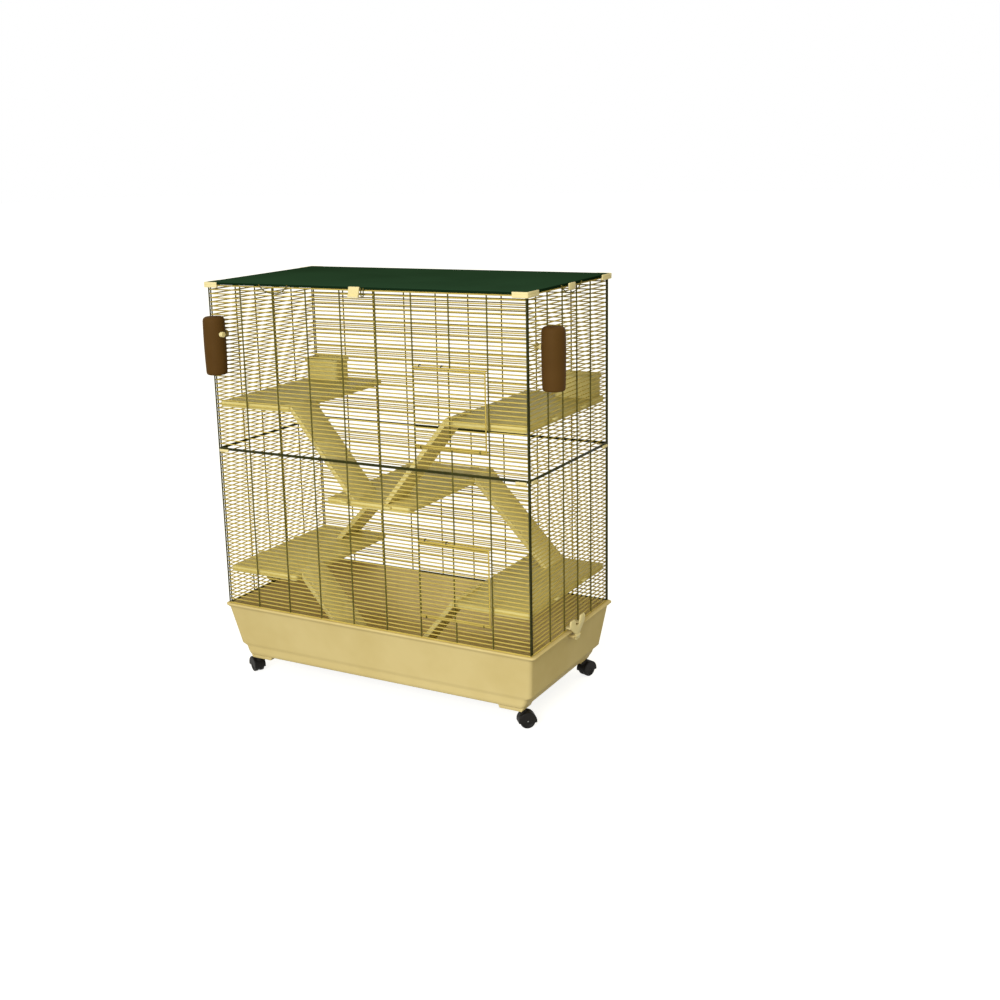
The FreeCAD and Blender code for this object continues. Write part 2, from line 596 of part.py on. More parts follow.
# Ramps: channels with cleats, hooked over one shelf edge and standing on the level below.
RAMP_W = 90.0
RAMP_SKIN = 5.0
RAMP_DEPTH = 16.0
RAMP_HOOK = 14.0
MID_RUN = 90.0          # middle ramps reach this far past the lower shelves' edges
CLEATS = 7
FRONT_RAMP_IN = 13.0    # ramps in from the front and back walls
BACK_RAMP_IN = 10.0
TRAY_RAMP_IN = 28.0
TOP_FOOT = 36.0         # ramp feet, from the middle of the cage
TRAY_FOOT = 20.0
MID_FOOT = EDGE_LOW + MID_RUN


def make_ramp(start_x, top, foot_x, floor, y0):
    """A ramp from a shelf edge at start_x down to foot_x on the level called floor."""
    side = math.copysign(1.0, foot_x - start_x)
    y1 = y0 + RAMP_W
    first = start_x + side * RUN / 2
    head = top + SHEET
    slope = (head - floor) / abs(foot_x - first)
    hook_x = start_x - side * RAMP_HOOK
    hook = [(hook_x, top), (hook_x, head), (first, head), (first, top)]

    def sloped(depth):
        heel_x = foot_x - side * depth / slope
        return [(first, head), (foot_x, floor), (heel_x, floor), (first, head - depth)]

    pieces = [slab_xz(sloped(RAMP_SKIN), y0, y1), slab_xz(hook, y0, y1)]
    for edge in (y0, y1 - SHEET):
        pieces.append(slab_xz(sloped(RAMP_DEPTH), edge, edge + SHEET))
    for i in range(1, CLEATS + 1):
        x = first + (foot_x - first) * i / (CLEATS + 1.0)
        z = head + (floor - head) * i / (CLEATS + 1.0)
        cleat = [(x - side * 3.0, z + 3.0 * slope - 0.5), (x - side * 1.6, z + 3.0 * slope + 0.6),
                 (x + side * 3.6, z - 3.0 * slope + 1.4), (x + side * 3.0, z - 3.0 * slope - 0.5)]
        pieces.append(slab_xz(cleat, y0 + 8.0, y1 - 8.0))
    return joined(pieces)


top_top = top_wire + SHELF_RISE
mid_top = mid_wire + SHELF_RISE
low_top = low_wire + SHELF_RISE
room = tray_room(0.5)[:2]
room.append(room[1][:3] + (low_top + 2 * SHEET,))
for label, side in (("left", -1), ("right", 1)):
    upper = make_ramp(side * EDGE_TOP, top_top, side * TOP_FOOT, mid_top, FRONT_RAMP_IN - HY)
    middle = make_ramp(side * MID_HALF, mid_top, side * MID_FOOT, low_top, HY - BACK_RAMP_IN - RAMP_W)
    lower = make_ramp(side * EDGE_LOW, low_top, side * TRAY_FOOT, FLOOR_Z, TRAY_RAMP_IN - HY)
    save("upper_" + label + "_ramp", [upper])
    save("middle_" + label + "_ramp", [middle])
    save("lower_" + label + "_ramp", [lower.common(tapered(room))])

# Feed boxes: open boxes in the back corners of the two upper shelves.
FEED_W = 90.0
FEED_D = 57.0
FEED_H = 50.0
FEED_WALL = 2.5
FEED_CORNER = 8.0
FEED_RIM = 4.0          # rim flange beyond the box walls
FEED_RIM_H = 6.0


def make_feed_box(side):
    x0, x1 = sorted((side * (SHELF_X - 7.0), side * (SHELF_X - 7.0 - FEED_W)))
    y1 = SHELF_Y - 1.0
    y0 = y1 - FEED_D
    top = top_top + FEED_H
    outer = round_corners(box(x0, x1, y0, y1, top_top, top), FEED_CORNER)
    rim = box(x0 - FEED_RIM, x1 + FEED_RIM, y0 - FEED_RIM, y1 + 1.0, top - FEED_RIM_H, top)
    outer = outer.fuse(round_corners(rim, FEED_CORNER)).removeSplitter()
    inner = box(x0 + FEED_WALL, x1 - FEED_WALL, y0 + FEED_WALL, y1 - FEED_WALL,
                top_top + FEED_WALL, top + 1.0)
    return outer.cut(round_corners(inner, FEED_CORNER - FEED_WALL))


save("feed_box_left", [make_feed_box(-1)])
save("feed_box_right", [make_feed_box(1)])

# Canisters: round-edged containers hung on knobbed pegs, one outside the front wall near its
# left end and one outside the right end wall.
CAN_EDGE = 5.0
KNOB_R = 6.0
CAP_KNOB_L = 7.0        # round knob on the flank of a canister
CAP_KNOB_UP = 4.0       # that knob above the peg
WASHER_R = 9.0
WASHER_T = 3.0
FRONT_CAN_X = upright_x(0.4)
SIDE_CAN_Y = -(1.5 * SIDE_PITCH + SIDE_END) / 2 + 4.0
PEG_Z = UPPER.between(PEG_H)
PEG_R = UPPER.pitch / 2 - WIRE_R - 0.7


def hung(shape, front):
    """Place a shape drawn with the wall's upright plane at x = 0 and +X pointing out."""
    moved = shape.copy()
    if front:
        moved.rotate(V(0, 0, 0), V(0, 0, 1), -90.0)
        moved.translate(V(FRONT_CAN_X, -HY, 0))
    else:
        moved.translate(V(HX, SIDE_CAN_Y, 0))
    return moved


def make_canister():
    can = Part.makeCone(CAN_R - CAN_TAPER, CAN_R, CAN_UP + CAN_DOWN, V(CAN_OUT, 0, PEG_Z - CAN_DOWN))
    return can.makeFillet(CAN_EDGE, [e for e in can.Edges if e.Closed])


def make_hanger():
    """A knob outside the wall, a neck between two wires and a washer inside."""
    axis = V(1, 0, 0)
    inside = -FACE_IN - WASHER_T
    knob = Part.makeCylinder(KNOB_R, KNOB_L, V(KNOB_OUT, 0, PEG_Z), axis)
    neck = rod(V(inside + 1.0, 0, PEG_Z), V(KNOB_OUT + 1.0, 0, PEG_Z), PEG_R)
    washer = Part.makeCylinder(WASHER_R, WASHER_T, V(inside, 0, PEG_Z), axis)
    return joined([knob, neck, washer])


def make_flank_knob():
    """A round knob on the side of the canister, fitted to its curve."""
    centre = V(CAN_OUT + KNOB_R, CAN_R - CAP_KNOB_L / 2, PEG_Z + CAP_KNOB_UP)
    knob = Part.makeCylinder(KNOB_R, CAP_KNOB_L + 2.0, centre, V(0, 1, 0))
    return knob.cut(make_canister())


save("canister_left", [hung(make_canister(), True)])
save("canister_right", [hung(make_canister(), False)])
save("canister_hangers", [hung(make_hanger(), front) for front in (True, False)])
save("canister_knobs", [hung(make_flank_knob(), front) for front in (True, False)])
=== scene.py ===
# %% [markdown]
# A tall wire cage for small pets. Two storeys of welded wire stand on a deep plastic tray with
# casters. Plastic shelves and ramps hang inside, and a coated steel sheet closes the top.
# The solid model gives every size and every moving body, so the first step is to load it
# and to remember its outer box.

# %% Load the solid model
import math

import bmesh
import bpy
from mathutils import Matrix, Vector


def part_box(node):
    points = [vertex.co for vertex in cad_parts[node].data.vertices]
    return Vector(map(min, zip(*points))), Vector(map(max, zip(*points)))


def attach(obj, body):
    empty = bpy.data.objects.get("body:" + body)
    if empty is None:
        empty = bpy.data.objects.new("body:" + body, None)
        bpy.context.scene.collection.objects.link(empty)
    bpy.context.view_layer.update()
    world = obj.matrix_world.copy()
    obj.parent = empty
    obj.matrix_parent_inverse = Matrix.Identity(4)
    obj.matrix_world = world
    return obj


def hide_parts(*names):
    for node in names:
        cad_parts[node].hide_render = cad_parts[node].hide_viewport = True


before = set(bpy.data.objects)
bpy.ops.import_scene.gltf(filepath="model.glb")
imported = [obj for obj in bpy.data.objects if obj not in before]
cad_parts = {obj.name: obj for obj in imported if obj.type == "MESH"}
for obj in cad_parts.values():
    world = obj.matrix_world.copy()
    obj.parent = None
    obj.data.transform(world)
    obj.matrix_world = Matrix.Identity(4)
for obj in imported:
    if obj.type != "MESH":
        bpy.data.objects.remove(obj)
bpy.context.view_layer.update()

# %% [markdown]
# The sizes that several pieces share are written once, in millimetres about the middle of the
# wire walls. The corner posts stand on a rectangle of 800 by 400, the tray rim is 182 above the
# floor, and each storey is a ladder of thin wires. Heights on a storey are counted in gaps between
# its wires, so a door reaches from 5.5 gaps up to 23.5. The roof covers the walls evenly, so the
# middle of its box tells where the walls stand in the frame.

# %% Shared sizes
HX = 400.0
HY = 200.0
RIM_Z = 182.0
FLOOR_Z = 54.0
ARCH_Z = 50.0
FOOT_Z = 41.0
ROD_R, ROD_SIDES = 1.6, 12
WIRE_R, WIRE_SIDES = 1.2, 8
COAT_R = 1.45
WIRE_IN = ROD_R + WIRE_R
BAYS = 9
BAY = 2 * HX / BAYS
SIDE_BAY = 71.0
SIDE_END = HY - 6.5
LOWER = {"bottom": RIM_Z + ROD_R, "height": 374.4, "gaps": 40}
UPPER = {"bottom": RIM_Z + 379.2, "height": 374.8, "gaps": 40}


def level(storey, step):
    """Height of a wire, counted up from the bottom rail of its storey."""
    return storey["bottom"] + step * storey["height"] / storey["gaps"]


TOP_RAIL = level(UPPER, UPPER["gaps"])
ROOF_Z = TOP_RAIL + 8.0
DOOR_X = (BAY * 1.5, BAY * 3.5)
DOOR_MIDDLE, DOOR_UPRIGHT = BAY * 2.5, 7
SILL, HEAD = 5.5, 23.5
DOOR_Y = -HY - 5.3
roof_low, roof_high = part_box("roof_panel")
MIDDLE = (roof_low + roof_high) / 2
MIDDLE.z = 0.0
print("top rail at", round(TOP_RAIL, 1), "walls about", [round(c, 4) for c in MIDDLE])

# %% [markdown]
# The photograph was taken from the front right, a little above the roof. A camera is placed by
# its position and three axes, worked out from the turn, the tilt and the small roll. The shift
# moves the picture so that the cage sits left of the middle, as in the photograph.

# %% Camera
STAND = Vector((1.5689, -2.5196, 1.218))
turn, tilt, roll = (math.radians(a) for a in (30.24, 13.53, -1.586))
back = Vector((math.sin(turn) * math.cos(tilt), -math.cos(turn) * math.cos(tilt), math.sin(tilt)))
right = Vector((math.cos(turn), math.sin(turn), 0.0))
up = back.cross(right)
axis_x = right * math.cos(roll) + up * math.sin(roll)
axis_y = up * math.cos(roll) - right * math.sin(roll)
lens = bpy.data.cameras.new("studio_camera")
lens.sensor_width = 36.0
lens.lens = 47.585
lens.shift_x = 0.05
lens.shift_y = -0.032
lens.dof.use_dof = False
camera = bpy.data.objects.new("studio_camera", lens)
bpy.context.scene.collection.objects.link(camera)
pose = Matrix((axis_x, axis_y, back)).transposed().to_4x4()
pose.translation = STAND + MIDDLE
camera.matrix_world = pose
bpy.context.scene.camera = camera
print("camera at", [round(c, 3) for c in camera.matrix_world.translation])

# %% [markdown]
# Colours are written as the hex codes a paint chart would give. Blender mixes light in linear
# values, so one function turns a code into those. A second small function adds a node, sets its
# options and wires its inputs, which keeps every finish below short enough to read. Each finish
# drifts between a deep and a main tone, so the blend of two tones is a function as well.

# %% Colour and node helpers
def linear(code):
    """An sRGB hex code as a linear colour with full alpha."""
    parts = [int(code[i:i + 2], 16) / 255.0 for i in (1, 3, 5)]
    return tuple(c / 12.92 if c <= 0.04045 else ((c + 0.055) / 1.055) ** 2.4 for c in parts) + (1.0,)


def add_node(tree, kind, inputs=None, **options):
    """Add a node; inputs map a socket to a value or to another node's output."""
    node = tree.nodes.new(kind)
    for name, value in options.items():
        setattr(node, name, value)
    for socket, value in (inputs or {}).items():
        if isinstance(value, bpy.types.NodeSocket):
            tree.links.new(value, node.inputs[socket])
        else:
            node.inputs[socket].default_value = value
    return node


def per_mm(size):
    """Texture scale for a pattern whose features are this many millimetres wide."""
    return 1000.0 / size


def new_finish(name):
    """An empty material with its node tree and a texture position in metres."""
    finish = bpy.data.materials.new(name)
    finish.use_nodes = True
    tree = finish.node_tree
    tree.nodes.clear()
    where = add_node(tree, "ShaderNodeTexCoord").outputs["Object"]
    return finish, tree, where


def two_tones(tree, value, deep, main, low=0.0, high=1.0):
    """A colour that passes from the deep to the main tone as a texture goes from low to high."""
    blend = add_node(tree, "ShaderNodeValToRGB", {"Fac": value})
    for stop, position, code in zip(blend.color_ramp.elements, (low, high), (deep, main)):
        stop.position = position
        stop.color = linear(code)
    return blend.outputs["Color"]


print("helpers ready, mid grey is", round(linear("#808080")[0], 3))

# %% [markdown]
# Most of the cage is injection-moulded polypropylene: the tray, shelves, ramps, clips and
# canisters. The mould is spark eroded, so the surface has a fine grain that softens its gloss,
# and the colour drifts a little where the melt flowed. The grain of the real part is finer than
# a pixel here, so it is drawn at about two millimetres to show at all.

# %% Moulded plastic
def moulded_plastic(name, main, deep, rough, grain_mm, depth_mm, shine=0.08):
    """Moulded plastic between a main and a deeper tone, with a fine eroded grain."""
    finish, tree, where = new_finish(name)
    flow = add_node(tree, "ShaderNodeTexNoise",
                    {"Vector": where, "Scale": per_mm(140.0), "Detail": 3.0, "Roughness": 0.55})
    tone = two_tones(tree, flow.outputs["Fac"], deep, main, 0.36, 0.62)
    grain = add_node(tree, "ShaderNodeTexNoise",
                     {"Vector": where, "Scale": per_mm(grain_mm), "Detail": 2.0, "Roughness": 0.6})
    sheen = add_node(tree, "ShaderNodeMapRange",
                     {"Value": grain.outputs["Fac"], "From Min": 0.3, "From Max": 0.7,
                      "To Min": rough - 0.06, "To Max": rough + 0.08})
    bump = add_node(tree, "ShaderNodeBump",
                    {"Height": grain.outputs["Fac"], "Strength": 0.25, "Distance": depth_mm * 0.001})
    shader = add_node(tree, "ShaderNodeBsdfPrincipled",
                      {"Base Color": tone, "Roughness": sheen.outputs["Result"],
                       "Normal": bump.outputs["Normal"], "IOR": 1.49, "Specular IOR Level": shine})
    add_node(tree, "ShaderNodeOutputMaterial", {"Surface": shader.outputs["BSDF"]})
    return finish


tray_pp = moulded_plastic("polypropylene_tan_tray", "#D6C48D", "#CFBC83",
                          rough=0.46, grain_mm=2.2, depth_mm=0.12, shine=0.02)
shelf_pp = moulded_plastic("polypropylene_sand_shelf", "#DCD08E", "#D4C782",
                           rough=0.5, grain_mm=2.0, depth_mm=0.10)
# The ramps take a paler copy of the shelf plastic: the paler tone is painted light on their lit treads.
painted_light_ramp_pp = moulded_plastic("polypropylene_sand_ramp_painted_light", "#E6DA9C", "#DED190",
                          rough=0.5, grain_mm=2.0, depth_mm=0.10)
clip_pp = moulded_plastic("polypropylene_cream_clip", "#E7DAA8", "#E0D29C",
                          rough=0.4, grain_mm=1.6, depth_mm=0.08)
can_pp = moulded_plastic("polypropylene_brown_canister", "#563D1C", "#4E3617",
                         rough=0.6, grain_mm=2.4, depth_mm=0.12, shine=0.05)
caster_pa = moulded_plastic("nylon_black_caster", "#191715", "#131110",
                            rough=0.5, grain_mm=1.4, depth_mm=0.06, shine=0.15)
plastics = (tray_pp, shelf_pp, painted_light_ramp_pp, clip_pp, can_pp, caster_pa)
print("plastics", [finish.name for finish in plastics])

# %% [markdown]
# The wires are steel rod dipped in epoxy powder. The coat flows as it cures, so it is smooth and
# only a little glossy, with a slow waviness along the wire, and its tone drifts with its thickness.
# Uprights and rails are dark olive; the thin cross wires are khaki.

# %% Coated wire
def coated_wire(name, main, deep, rough):
    """Cured powder coat on wire, with tone drifting over a few centimetres."""
    finish, tree, where = new_finish(name)
    drift = add_node(tree, "ShaderNodeTexNoise",
                     {"Vector": where, "Scale": per_mm(45.0), "Detail": 2.0, "Roughness": 0.5})
    tone = two_tones(tree, drift.outputs["Fac"], deep, main, 0.35, 0.65)
    ripple = add_node(tree, "ShaderNodeTexNoise",
                      {"Vector": where, "Scale": per_mm(3.0), "Detail": 1.0})
    bump = add_node(tree, "ShaderNodeBump",
                    {"Height": ripple.outputs["Fac"], "Strength": 0.2, "Distance": 0.0001})
    shader = add_node(tree, "ShaderNodeBsdfPrincipled",
                      {"Base Color": tone, "Normal": bump.outputs["Normal"],
                       "Roughness": rough, "IOR": 1.52, "Specular IOR Level": 0.06})
    add_node(tree, "ShaderNodeOutputMaterial", {"Surface": shader.outputs["BSDF"]})
    return finish


upright_coat = coated_wire("epoxy_olive_upright", "#665F2B", "#5A5425", rough=0.46)
rail_coat = coated_wire("epoxy_dark_olive_rail", "#3B3B1A", "#323317", rough=0.46)
cross_coat = coated_wire("epoxy_khaki_cross_wire", "#C9B562", "#BFAA57", rough=0.5)
print("wire coats", upright_coat.name, rail_coat.name, cross_coat.name)

# %% [markdown]
# The roof is thin steel sheet with a dark green stove enamel. Enamel on sheet shows orange peel,
# a dimpling a few millimetres across, and this one is flatted, so it hardly mirrors the room. The
# folded edge gets a darker copy of the same enamel, which is painted shade. The bare pins are zinc
# plated steel: metallic and pale, with the fine marks of their plating.

# %% Enamelled sheet and plated steel
def stove_enamel(name, main, deep):
    """Flat stove enamel on sheet, with orange peel and a slow drift of tone."""
    finish, tree, where = new_finish(name)
    drift = add_node(tree, "ShaderNodeTexNoise",
                     {"Vector": where, "Scale": per_mm(220.0), "Detail": 4.0})
    tone = two_tones(tree, drift.outputs["Fac"], deep, main, 0.35, 0.68)
    peel = add_node(tree, "ShaderNodeTexNoise",
                    {"Vector": where, "Scale": per_mm(4.0), "Detail": 1.0})
    bump = add_node(tree, "ShaderNodeBump",
                    {"Height": peel.outputs["Fac"], "Strength": 0.2, "Distance": 0.0002})
    sheen = add_node(tree, "ShaderNodeMapRange",
                     {"Value": drift.outputs["Fac"], "To Min": 0.68, "To Max": 0.8})
    shader = add_node(tree, "ShaderNodeBsdfPrincipled",
                      {"Base Color": tone, "Roughness": sheen.outputs["Result"],
                       "Normal": bump.outputs["Normal"], "IOR": 1.5, "Specular IOR Level": 0.0})
    add_node(tree, "ShaderNodeOutputMaterial", {"Surface": shader.outputs["BSDF"]})
    return finish


roof_enamel = stove_enamel("stove_enamel_green_sheet", "#294431", "#253E2C")
# The folded edge is the same green enamel made darker: painted shade, not a thicker coat.
painted_shade_edge_enamel = stove_enamel("stove_enamel_green_edge_painted_shade", "#152A19", "#112415")

plated_steel, tree, where = new_finish("zinc_plated_steel_pin")
marks = add_node(tree, "ShaderNodeTexNoise", {"Vector": where, "Scale": per_mm(1.5), "Detail": 3.0})
tone = two_tones(tree, marks.outputs["Fac"], "#8E8F8C", "#C4C5C0")
sheen = add_node(tree, "ShaderNodeMapRange",
                 {"Value": marks.outputs["Fac"], "To Min": 0.25, "To Max": 0.45})
shader = add_node(tree, "ShaderNodeBsdfPrincipled",
                  {"Base Color": tone, "Roughness": sheen.outputs["Result"], "Metallic": 1.0})
add_node(tree, "ShaderNodeOutputMaterial", {"Surface": shader.outputs["BSDF"]})
print("metals", roof_enamel.name, painted_shade_edge_enamel.name, plated_steel.name)

# %% [markdown]
# Every piece is drawn as a small mesh in millimetres and scaled to metres at the end. Five shapes
# are enough: a tube along points for wire, a loft through rings for trays and boxes, a lathe for
# round things, and a prism or block with softened edges for moulded plates.

# %% Mesh helpers
END_RUN, END_TAPER = 0.4, 0.7
SHARP_ANGLE = math.radians(25.0)


def tube(bm, points, radius, sides=10):
    """A wire along points, with slightly rounded cut ends."""
    points = [Vector(p) for p in points]
    spans = [(b - a).normalized() for a, b in zip(points, points[1:])]
    headings = [spans[0]] + [(a + b).normalized() for a, b in zip(spans, spans[1:])] + [spans[-1]]
    side = headings[0].orthogonal().normalized()
    rings = []
    end, cut = radius * END_RUN, radius * END_TAPER
    first, last = headings[0], headings[-1]
    stations = [(points[0], first, cut), (points[0] + first * end, first, radius)]
    stations += [(p, h, radius) for p, h in zip(points[1:-1], headings[1:-1])]
    stations += [(points[-1] - last * end, last, radius), (points[-1], last, cut)]
    for at, heading, r in stations:
        side = (side - heading * side.dot(heading)).normalized()
        other = heading.cross(side)
        ring = []
        for i in range(sides):
            angle = 2 * math.pi * i / sides
            ring.append(bm.verts.new(at + (side * math.cos(angle) + other * math.sin(angle)) * r))
        rings.append(ring)
    join_rings(bm, rings)


def join_rings(bm, rings):
    """Skin neighbouring rings of vertices and close the ends."""
    for low, high in zip(rings, rings[1:]):
        for i in range(len(low)):
            j = (i + 1) % len(low)
            bm.faces.new((low[i], low[j], high[j], high[i]))
    bm.faces.new(list(reversed(rings[0])))
    bm.faces.new(rings[-1])


def rounded_ring(bm, centre, half_x, half_y, radius, z, arc=6):
    """Vertices of a rectangle with rounded corners at height z."""
    ring = []
    for sx, sy, start in ((1, 1, 0), (-1, 1, 90), (-1, -1, 180), (1, -1, 270)):
        for i in range(arc + 1):
            angle = math.radians(start + 90.0 * i / arc)
            x = centre[0] + sx * (half_x - radius) + radius * math.cos(angle)
            y = centre[1] + sy * (half_y - radius) + radius * math.sin(angle)
            ring.append(bm.verts.new((x, y, z)))
    return ring


def lathe(bm, profile, place, sides=40):
    """A profile of (radius, height) turned about its own Z axis, then placed by a matrix."""
    rings = []
    for radius, height in profile:
        ring = []
        for i in range(sides):
            angle = 2 * math.pi * i / sides
            at = Vector((radius * math.cos(angle), radius * math.sin(angle), height))
            ring.append(bm.verts.new(place @ at))
        rings.append(ring)
    join_rings(bm, rings)


def prism(bm, outline, axis, low, high, edge=0.8):
    """An outline drawn across an axis, drawn out from low to high, with softened edges."""
    part = bmesh.new()
    slots = {"X": (1, 2, 0), "Y": (0, 2, 1), "Z": (0, 1, 2)}[axis]
    rings = []
    for depth in (low, high):
        ring = []
        for u, v in outline:
            at = [0.0, 0.0, 0.0]
            at[slots[0]], at[slots[1]], at[slots[2]] = u, v, depth
            ring.append(part.verts.new(at))
        rings.append(ring)
    join_rings(part, rings)
    bmesh.ops.recalc_face_normals(part, faces=part.faces)
    sharp = [e for e in part.edges if e.calc_face_angle(0.0) > SHARP_ANGLE]
    bmesh.ops.bevel(part, geom=sharp, offset=edge, segments=2, profile=0.5, affect="EDGES")
    spare = bpy.data.meshes.new("spare")
    part.to_mesh(spare)
    part.free()
    bm.from_mesh(spare)
    bpy.data.meshes.remove(spare)


def block(bm, x0, x1, y0, y1, z0, z1, edge=0.8):
    """A moulded block between two corners."""
    xs, ys = sorted((x0, x1)), sorted((y0, y1))
    prism(bm, [(xs[0], ys[0]), (xs[1], ys[0]), (xs[1], ys[1]), (xs[0], ys[1])], "Z", z0, z1, edge)


def piece(name, bm, finish, body, nodes=(), smooth=40.0):
    """Turn a mesh in millimetres into an object that rides on a body and stands for nodes."""
    bmesh.ops.recalc_face_normals(bm, faces=bm.faces)
    mesh = bpy.data.meshes.new(name)
    bm.to_mesh(mesh)
    bm.free()
    mesh.transform(Matrix.Translation(MIDDLE) @ Matrix.Scale(0.001, 4))
    mesh.materials.append(finish)
    mesh.polygons.foreach_set("use_smooth", [True] * len(mesh.polygons))
    mesh.set_sharp_from_angle(angle=math.radians(smooth))
    thing = bpy.data.objects.new(name, mesh)
    bpy.context.scene.collection.objects.link(thing)
    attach(thing, body)
    if nodes:
        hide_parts(*nodes)
    return thing


def refinish(node, finish):
    """Keep a solid of the frame as it is, with a better finish."""
    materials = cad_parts[node].data.materials
    materials.clear()
    materials.append(finish)


print("mesh helpers ready")

# %% [markdown]
# The tray is one thin moulding: a flat floor, walls that lean out, a small step low on the
# skirt and a flared rim that stiffens the top edge. A loft suits it, because one list of rounded
# rectangles walks up the outside, over the rim and down the inside to the floor. Each row gives
# how far in from the posts it lies along and across, its corner radius and its height. Feet over
# the casters and lugs for the clips are added as blocks.

# %% Tray
OUTSIDE = [(35.0, 25.0, 7.0, 50.0), (32.2, 22.2, 8.6, 50.5), (30.4, 21.0, 9.0, 52.0),
           (26.2, 20.6, 9.0, 59.0), (22.6, 20.1, 9.0, 69.4), (21.4, 19.8, 9.0, 71.6),
           (12.2, 17.8, 9.0, 77.0), (11.0, 17.4, 9.0, 78.6), (10.4, 17.0, 9.0, 82.0),
           (-2.0, -2.4, 9.0, 170.0)]
RIM = [(-2.6, -3.0, 9.0, 172.4), (-4.4, -4.0, 9.2, 174.2), (-8.2, -5.4, 9.8, 176.2),
       (-10.2, -6.6, 10.4, 177.6), (-11.0, -7.0, 11.0, 179.0), (-11.0, -7.0, 11.0, 180.2),
       (-10.6, -6.6, 10.6, 181.3), (-9.6, -5.6, 9.8, 181.9), (-5.0, -1.0, 8.0, 182.0),
       (0.0, 4.0, 6.6, 182.0), (0.9, 4.9, 6.2, 181.6), (1.2, 5.2, 6.1, 180.4)]
INSIDE = [(14.8, 21.3, 6.0, 82.0), (15.6, 21.8, 6.0, 79.6), (25.2, 23.9, 6.0, 72.6),
          (26.2, 24.1, 6.0, 71.0), (30.5, 24.6, 6.0, 63.0), (34.2, 26.0, 6.0, 55.2),
          (38.0, 29.0, 6.0, 54.0)]
TRAY_ARC = 8
CASTER_X, CASTER_Y = HX - 42.0, HY - 40.0
CASTERS = {"front_left": (-1, -1, 150.0), "front_right": (1, -1, 40.0),
           "back_left": (-1, 1, 120.0), "back_right": (1, 1, 70.0)}
FOOT_X, FOOT_Y = (-54.0, 10.0), (-31.0, 15.0)
FOOT_LEAN, FOOT_ROOT = 5.0, ARCH_Z + 2.0
CLIP_X, CLIP_Z = HX + 15.0, RIM_Z - 16.0
LUG_Y, LUG_THICK, LUG_HALF = (-14.6, 10.6), 4.0, 2.8
LUG_IN, LUG_OUT = HX + 0.6, CLIP_X + 2.4

bm = bmesh.new()
rings = [rounded_ring(bm, (0, 0), HX - in_x, HY - in_y, r, z, TRAY_ARC)
         for in_x, in_y, r, z in OUTSIDE + RIM + INSIDE]
join_rings(bm, rings)
for sx, sy, _ in CASTERS.values():
    inner, outer = (sx * (CASTER_X + x) for x in FOOT_X)
    near, far = sorted(sy * (CASTER_Y + y) for y in FOOT_Y)
    foot = [(inner, FOOT_ROOT), (inner + sx * FOOT_LEAN, FOOT_Z),
            (outer - sx * FOOT_LEAN, FOOT_Z), (outer, FOOT_ROOT)]
    prism(bm, foot, "Y", near, far, 1.5)
for side in (-1, 1):
    for y in LUG_Y:
        block(bm, side * LUG_IN, side * LUG_OUT, y, y + LUG_THICK,
              CLIP_Z - LUG_HALF, CLIP_Z + LUG_HALF, 0.6)
tray = piece("tray_moulding", bm, tray_pp, "cage", ["base_tray"])
print("tray faces", len(tray.data.polygons))

# %% [markdown]
# A wire panel is a set of stout uprights between two rails, with thin wires spot welded across
# the inner side every nine millimetres. Straight tubes give that exactly. Uprights and cross
# wires are separate pieces so that each keeps its own coat. The rails under the roof and those
# that lie on the near sides of the tray rim are khaki too. The front panels leave a doorway,
# whose sill and head are khaki as well.

# %% Wire panels
def rails(bm, lines):
    """Stout rods between pairs of points."""
    for start, end in lines:
        tube(bm, [start, end], ROD_R, ROD_SIDES)


def cross_wire(bm, start, end):
    """One thin wire, with the thickness of its coat."""
    tube(bm, [start, end], COAT_R, WIRE_SIDES)


def panel_pieces(node, frame_bm, stem_bm, wire_bm):
    """The three pieces of a panel, each in its own coat."""
    piece(node + "_frame", frame_bm, rail_coat, "cage", [node])
    piece(node + "_uprights", stem_bm, upright_coat, "cage")
    piece(node + "_cross_wires", wire_bm, cross_coat, "cage")


def long_wall(label, storey, y, doorway):
    """Front or back panel of one storey."""
    node = label + ("_front_panel" if doorway else "_back_panel")
    inner = y - math.copysign(WIRE_IN, y)
    low, high = level(storey, 0), level(storey, storey["gaps"])
    sill, head = level(storey, SILL), level(storey, HEAD)
    frame_bm, stem_bm, wire_bm = bmesh.new(), bmesh.new(), bmesh.new()
    for z in (low, high):
        khaki = z == TOP_RAIL or (doorway and z == level(LOWER, 0))
        rails(wire_bm if khaki else frame_bm, [((-HX - ROD_R, y, z), (HX + ROD_R, y, z))])
    for i in range(BAYS + 1):
        x = -HX + i * BAY
        target = frame_bm if i in (0, BAYS) else stem_bm
        if doorway and i == DOOR_UPRIGHT:
            rails(target, [((x, y, low), (x, y, sill)), ((x, y, head), (x, y, high))])
        else:
            rails(target, [((x, y, low), (x, y, high))])
    if doorway:
        rails(wire_bm, [((DOOR_X[0], y, z), (DOOR_X[1], y, z)) for z in (sill, head)])
    for step in range(1, storey["gaps"]):
        z = level(storey, step)
        runs = [(-HX, HX)]
        if doorway and sill < z < head:
            runs = [(-HX, DOOR_X[0]), (DOOR_X[1], HX)]
        for x0, x1 in runs:
            cross_wire(wire_bm, (x0, inner, z), (x1, inner, z))
    panel_pieces(node, frame_bm, stem_bm, wire_bm)


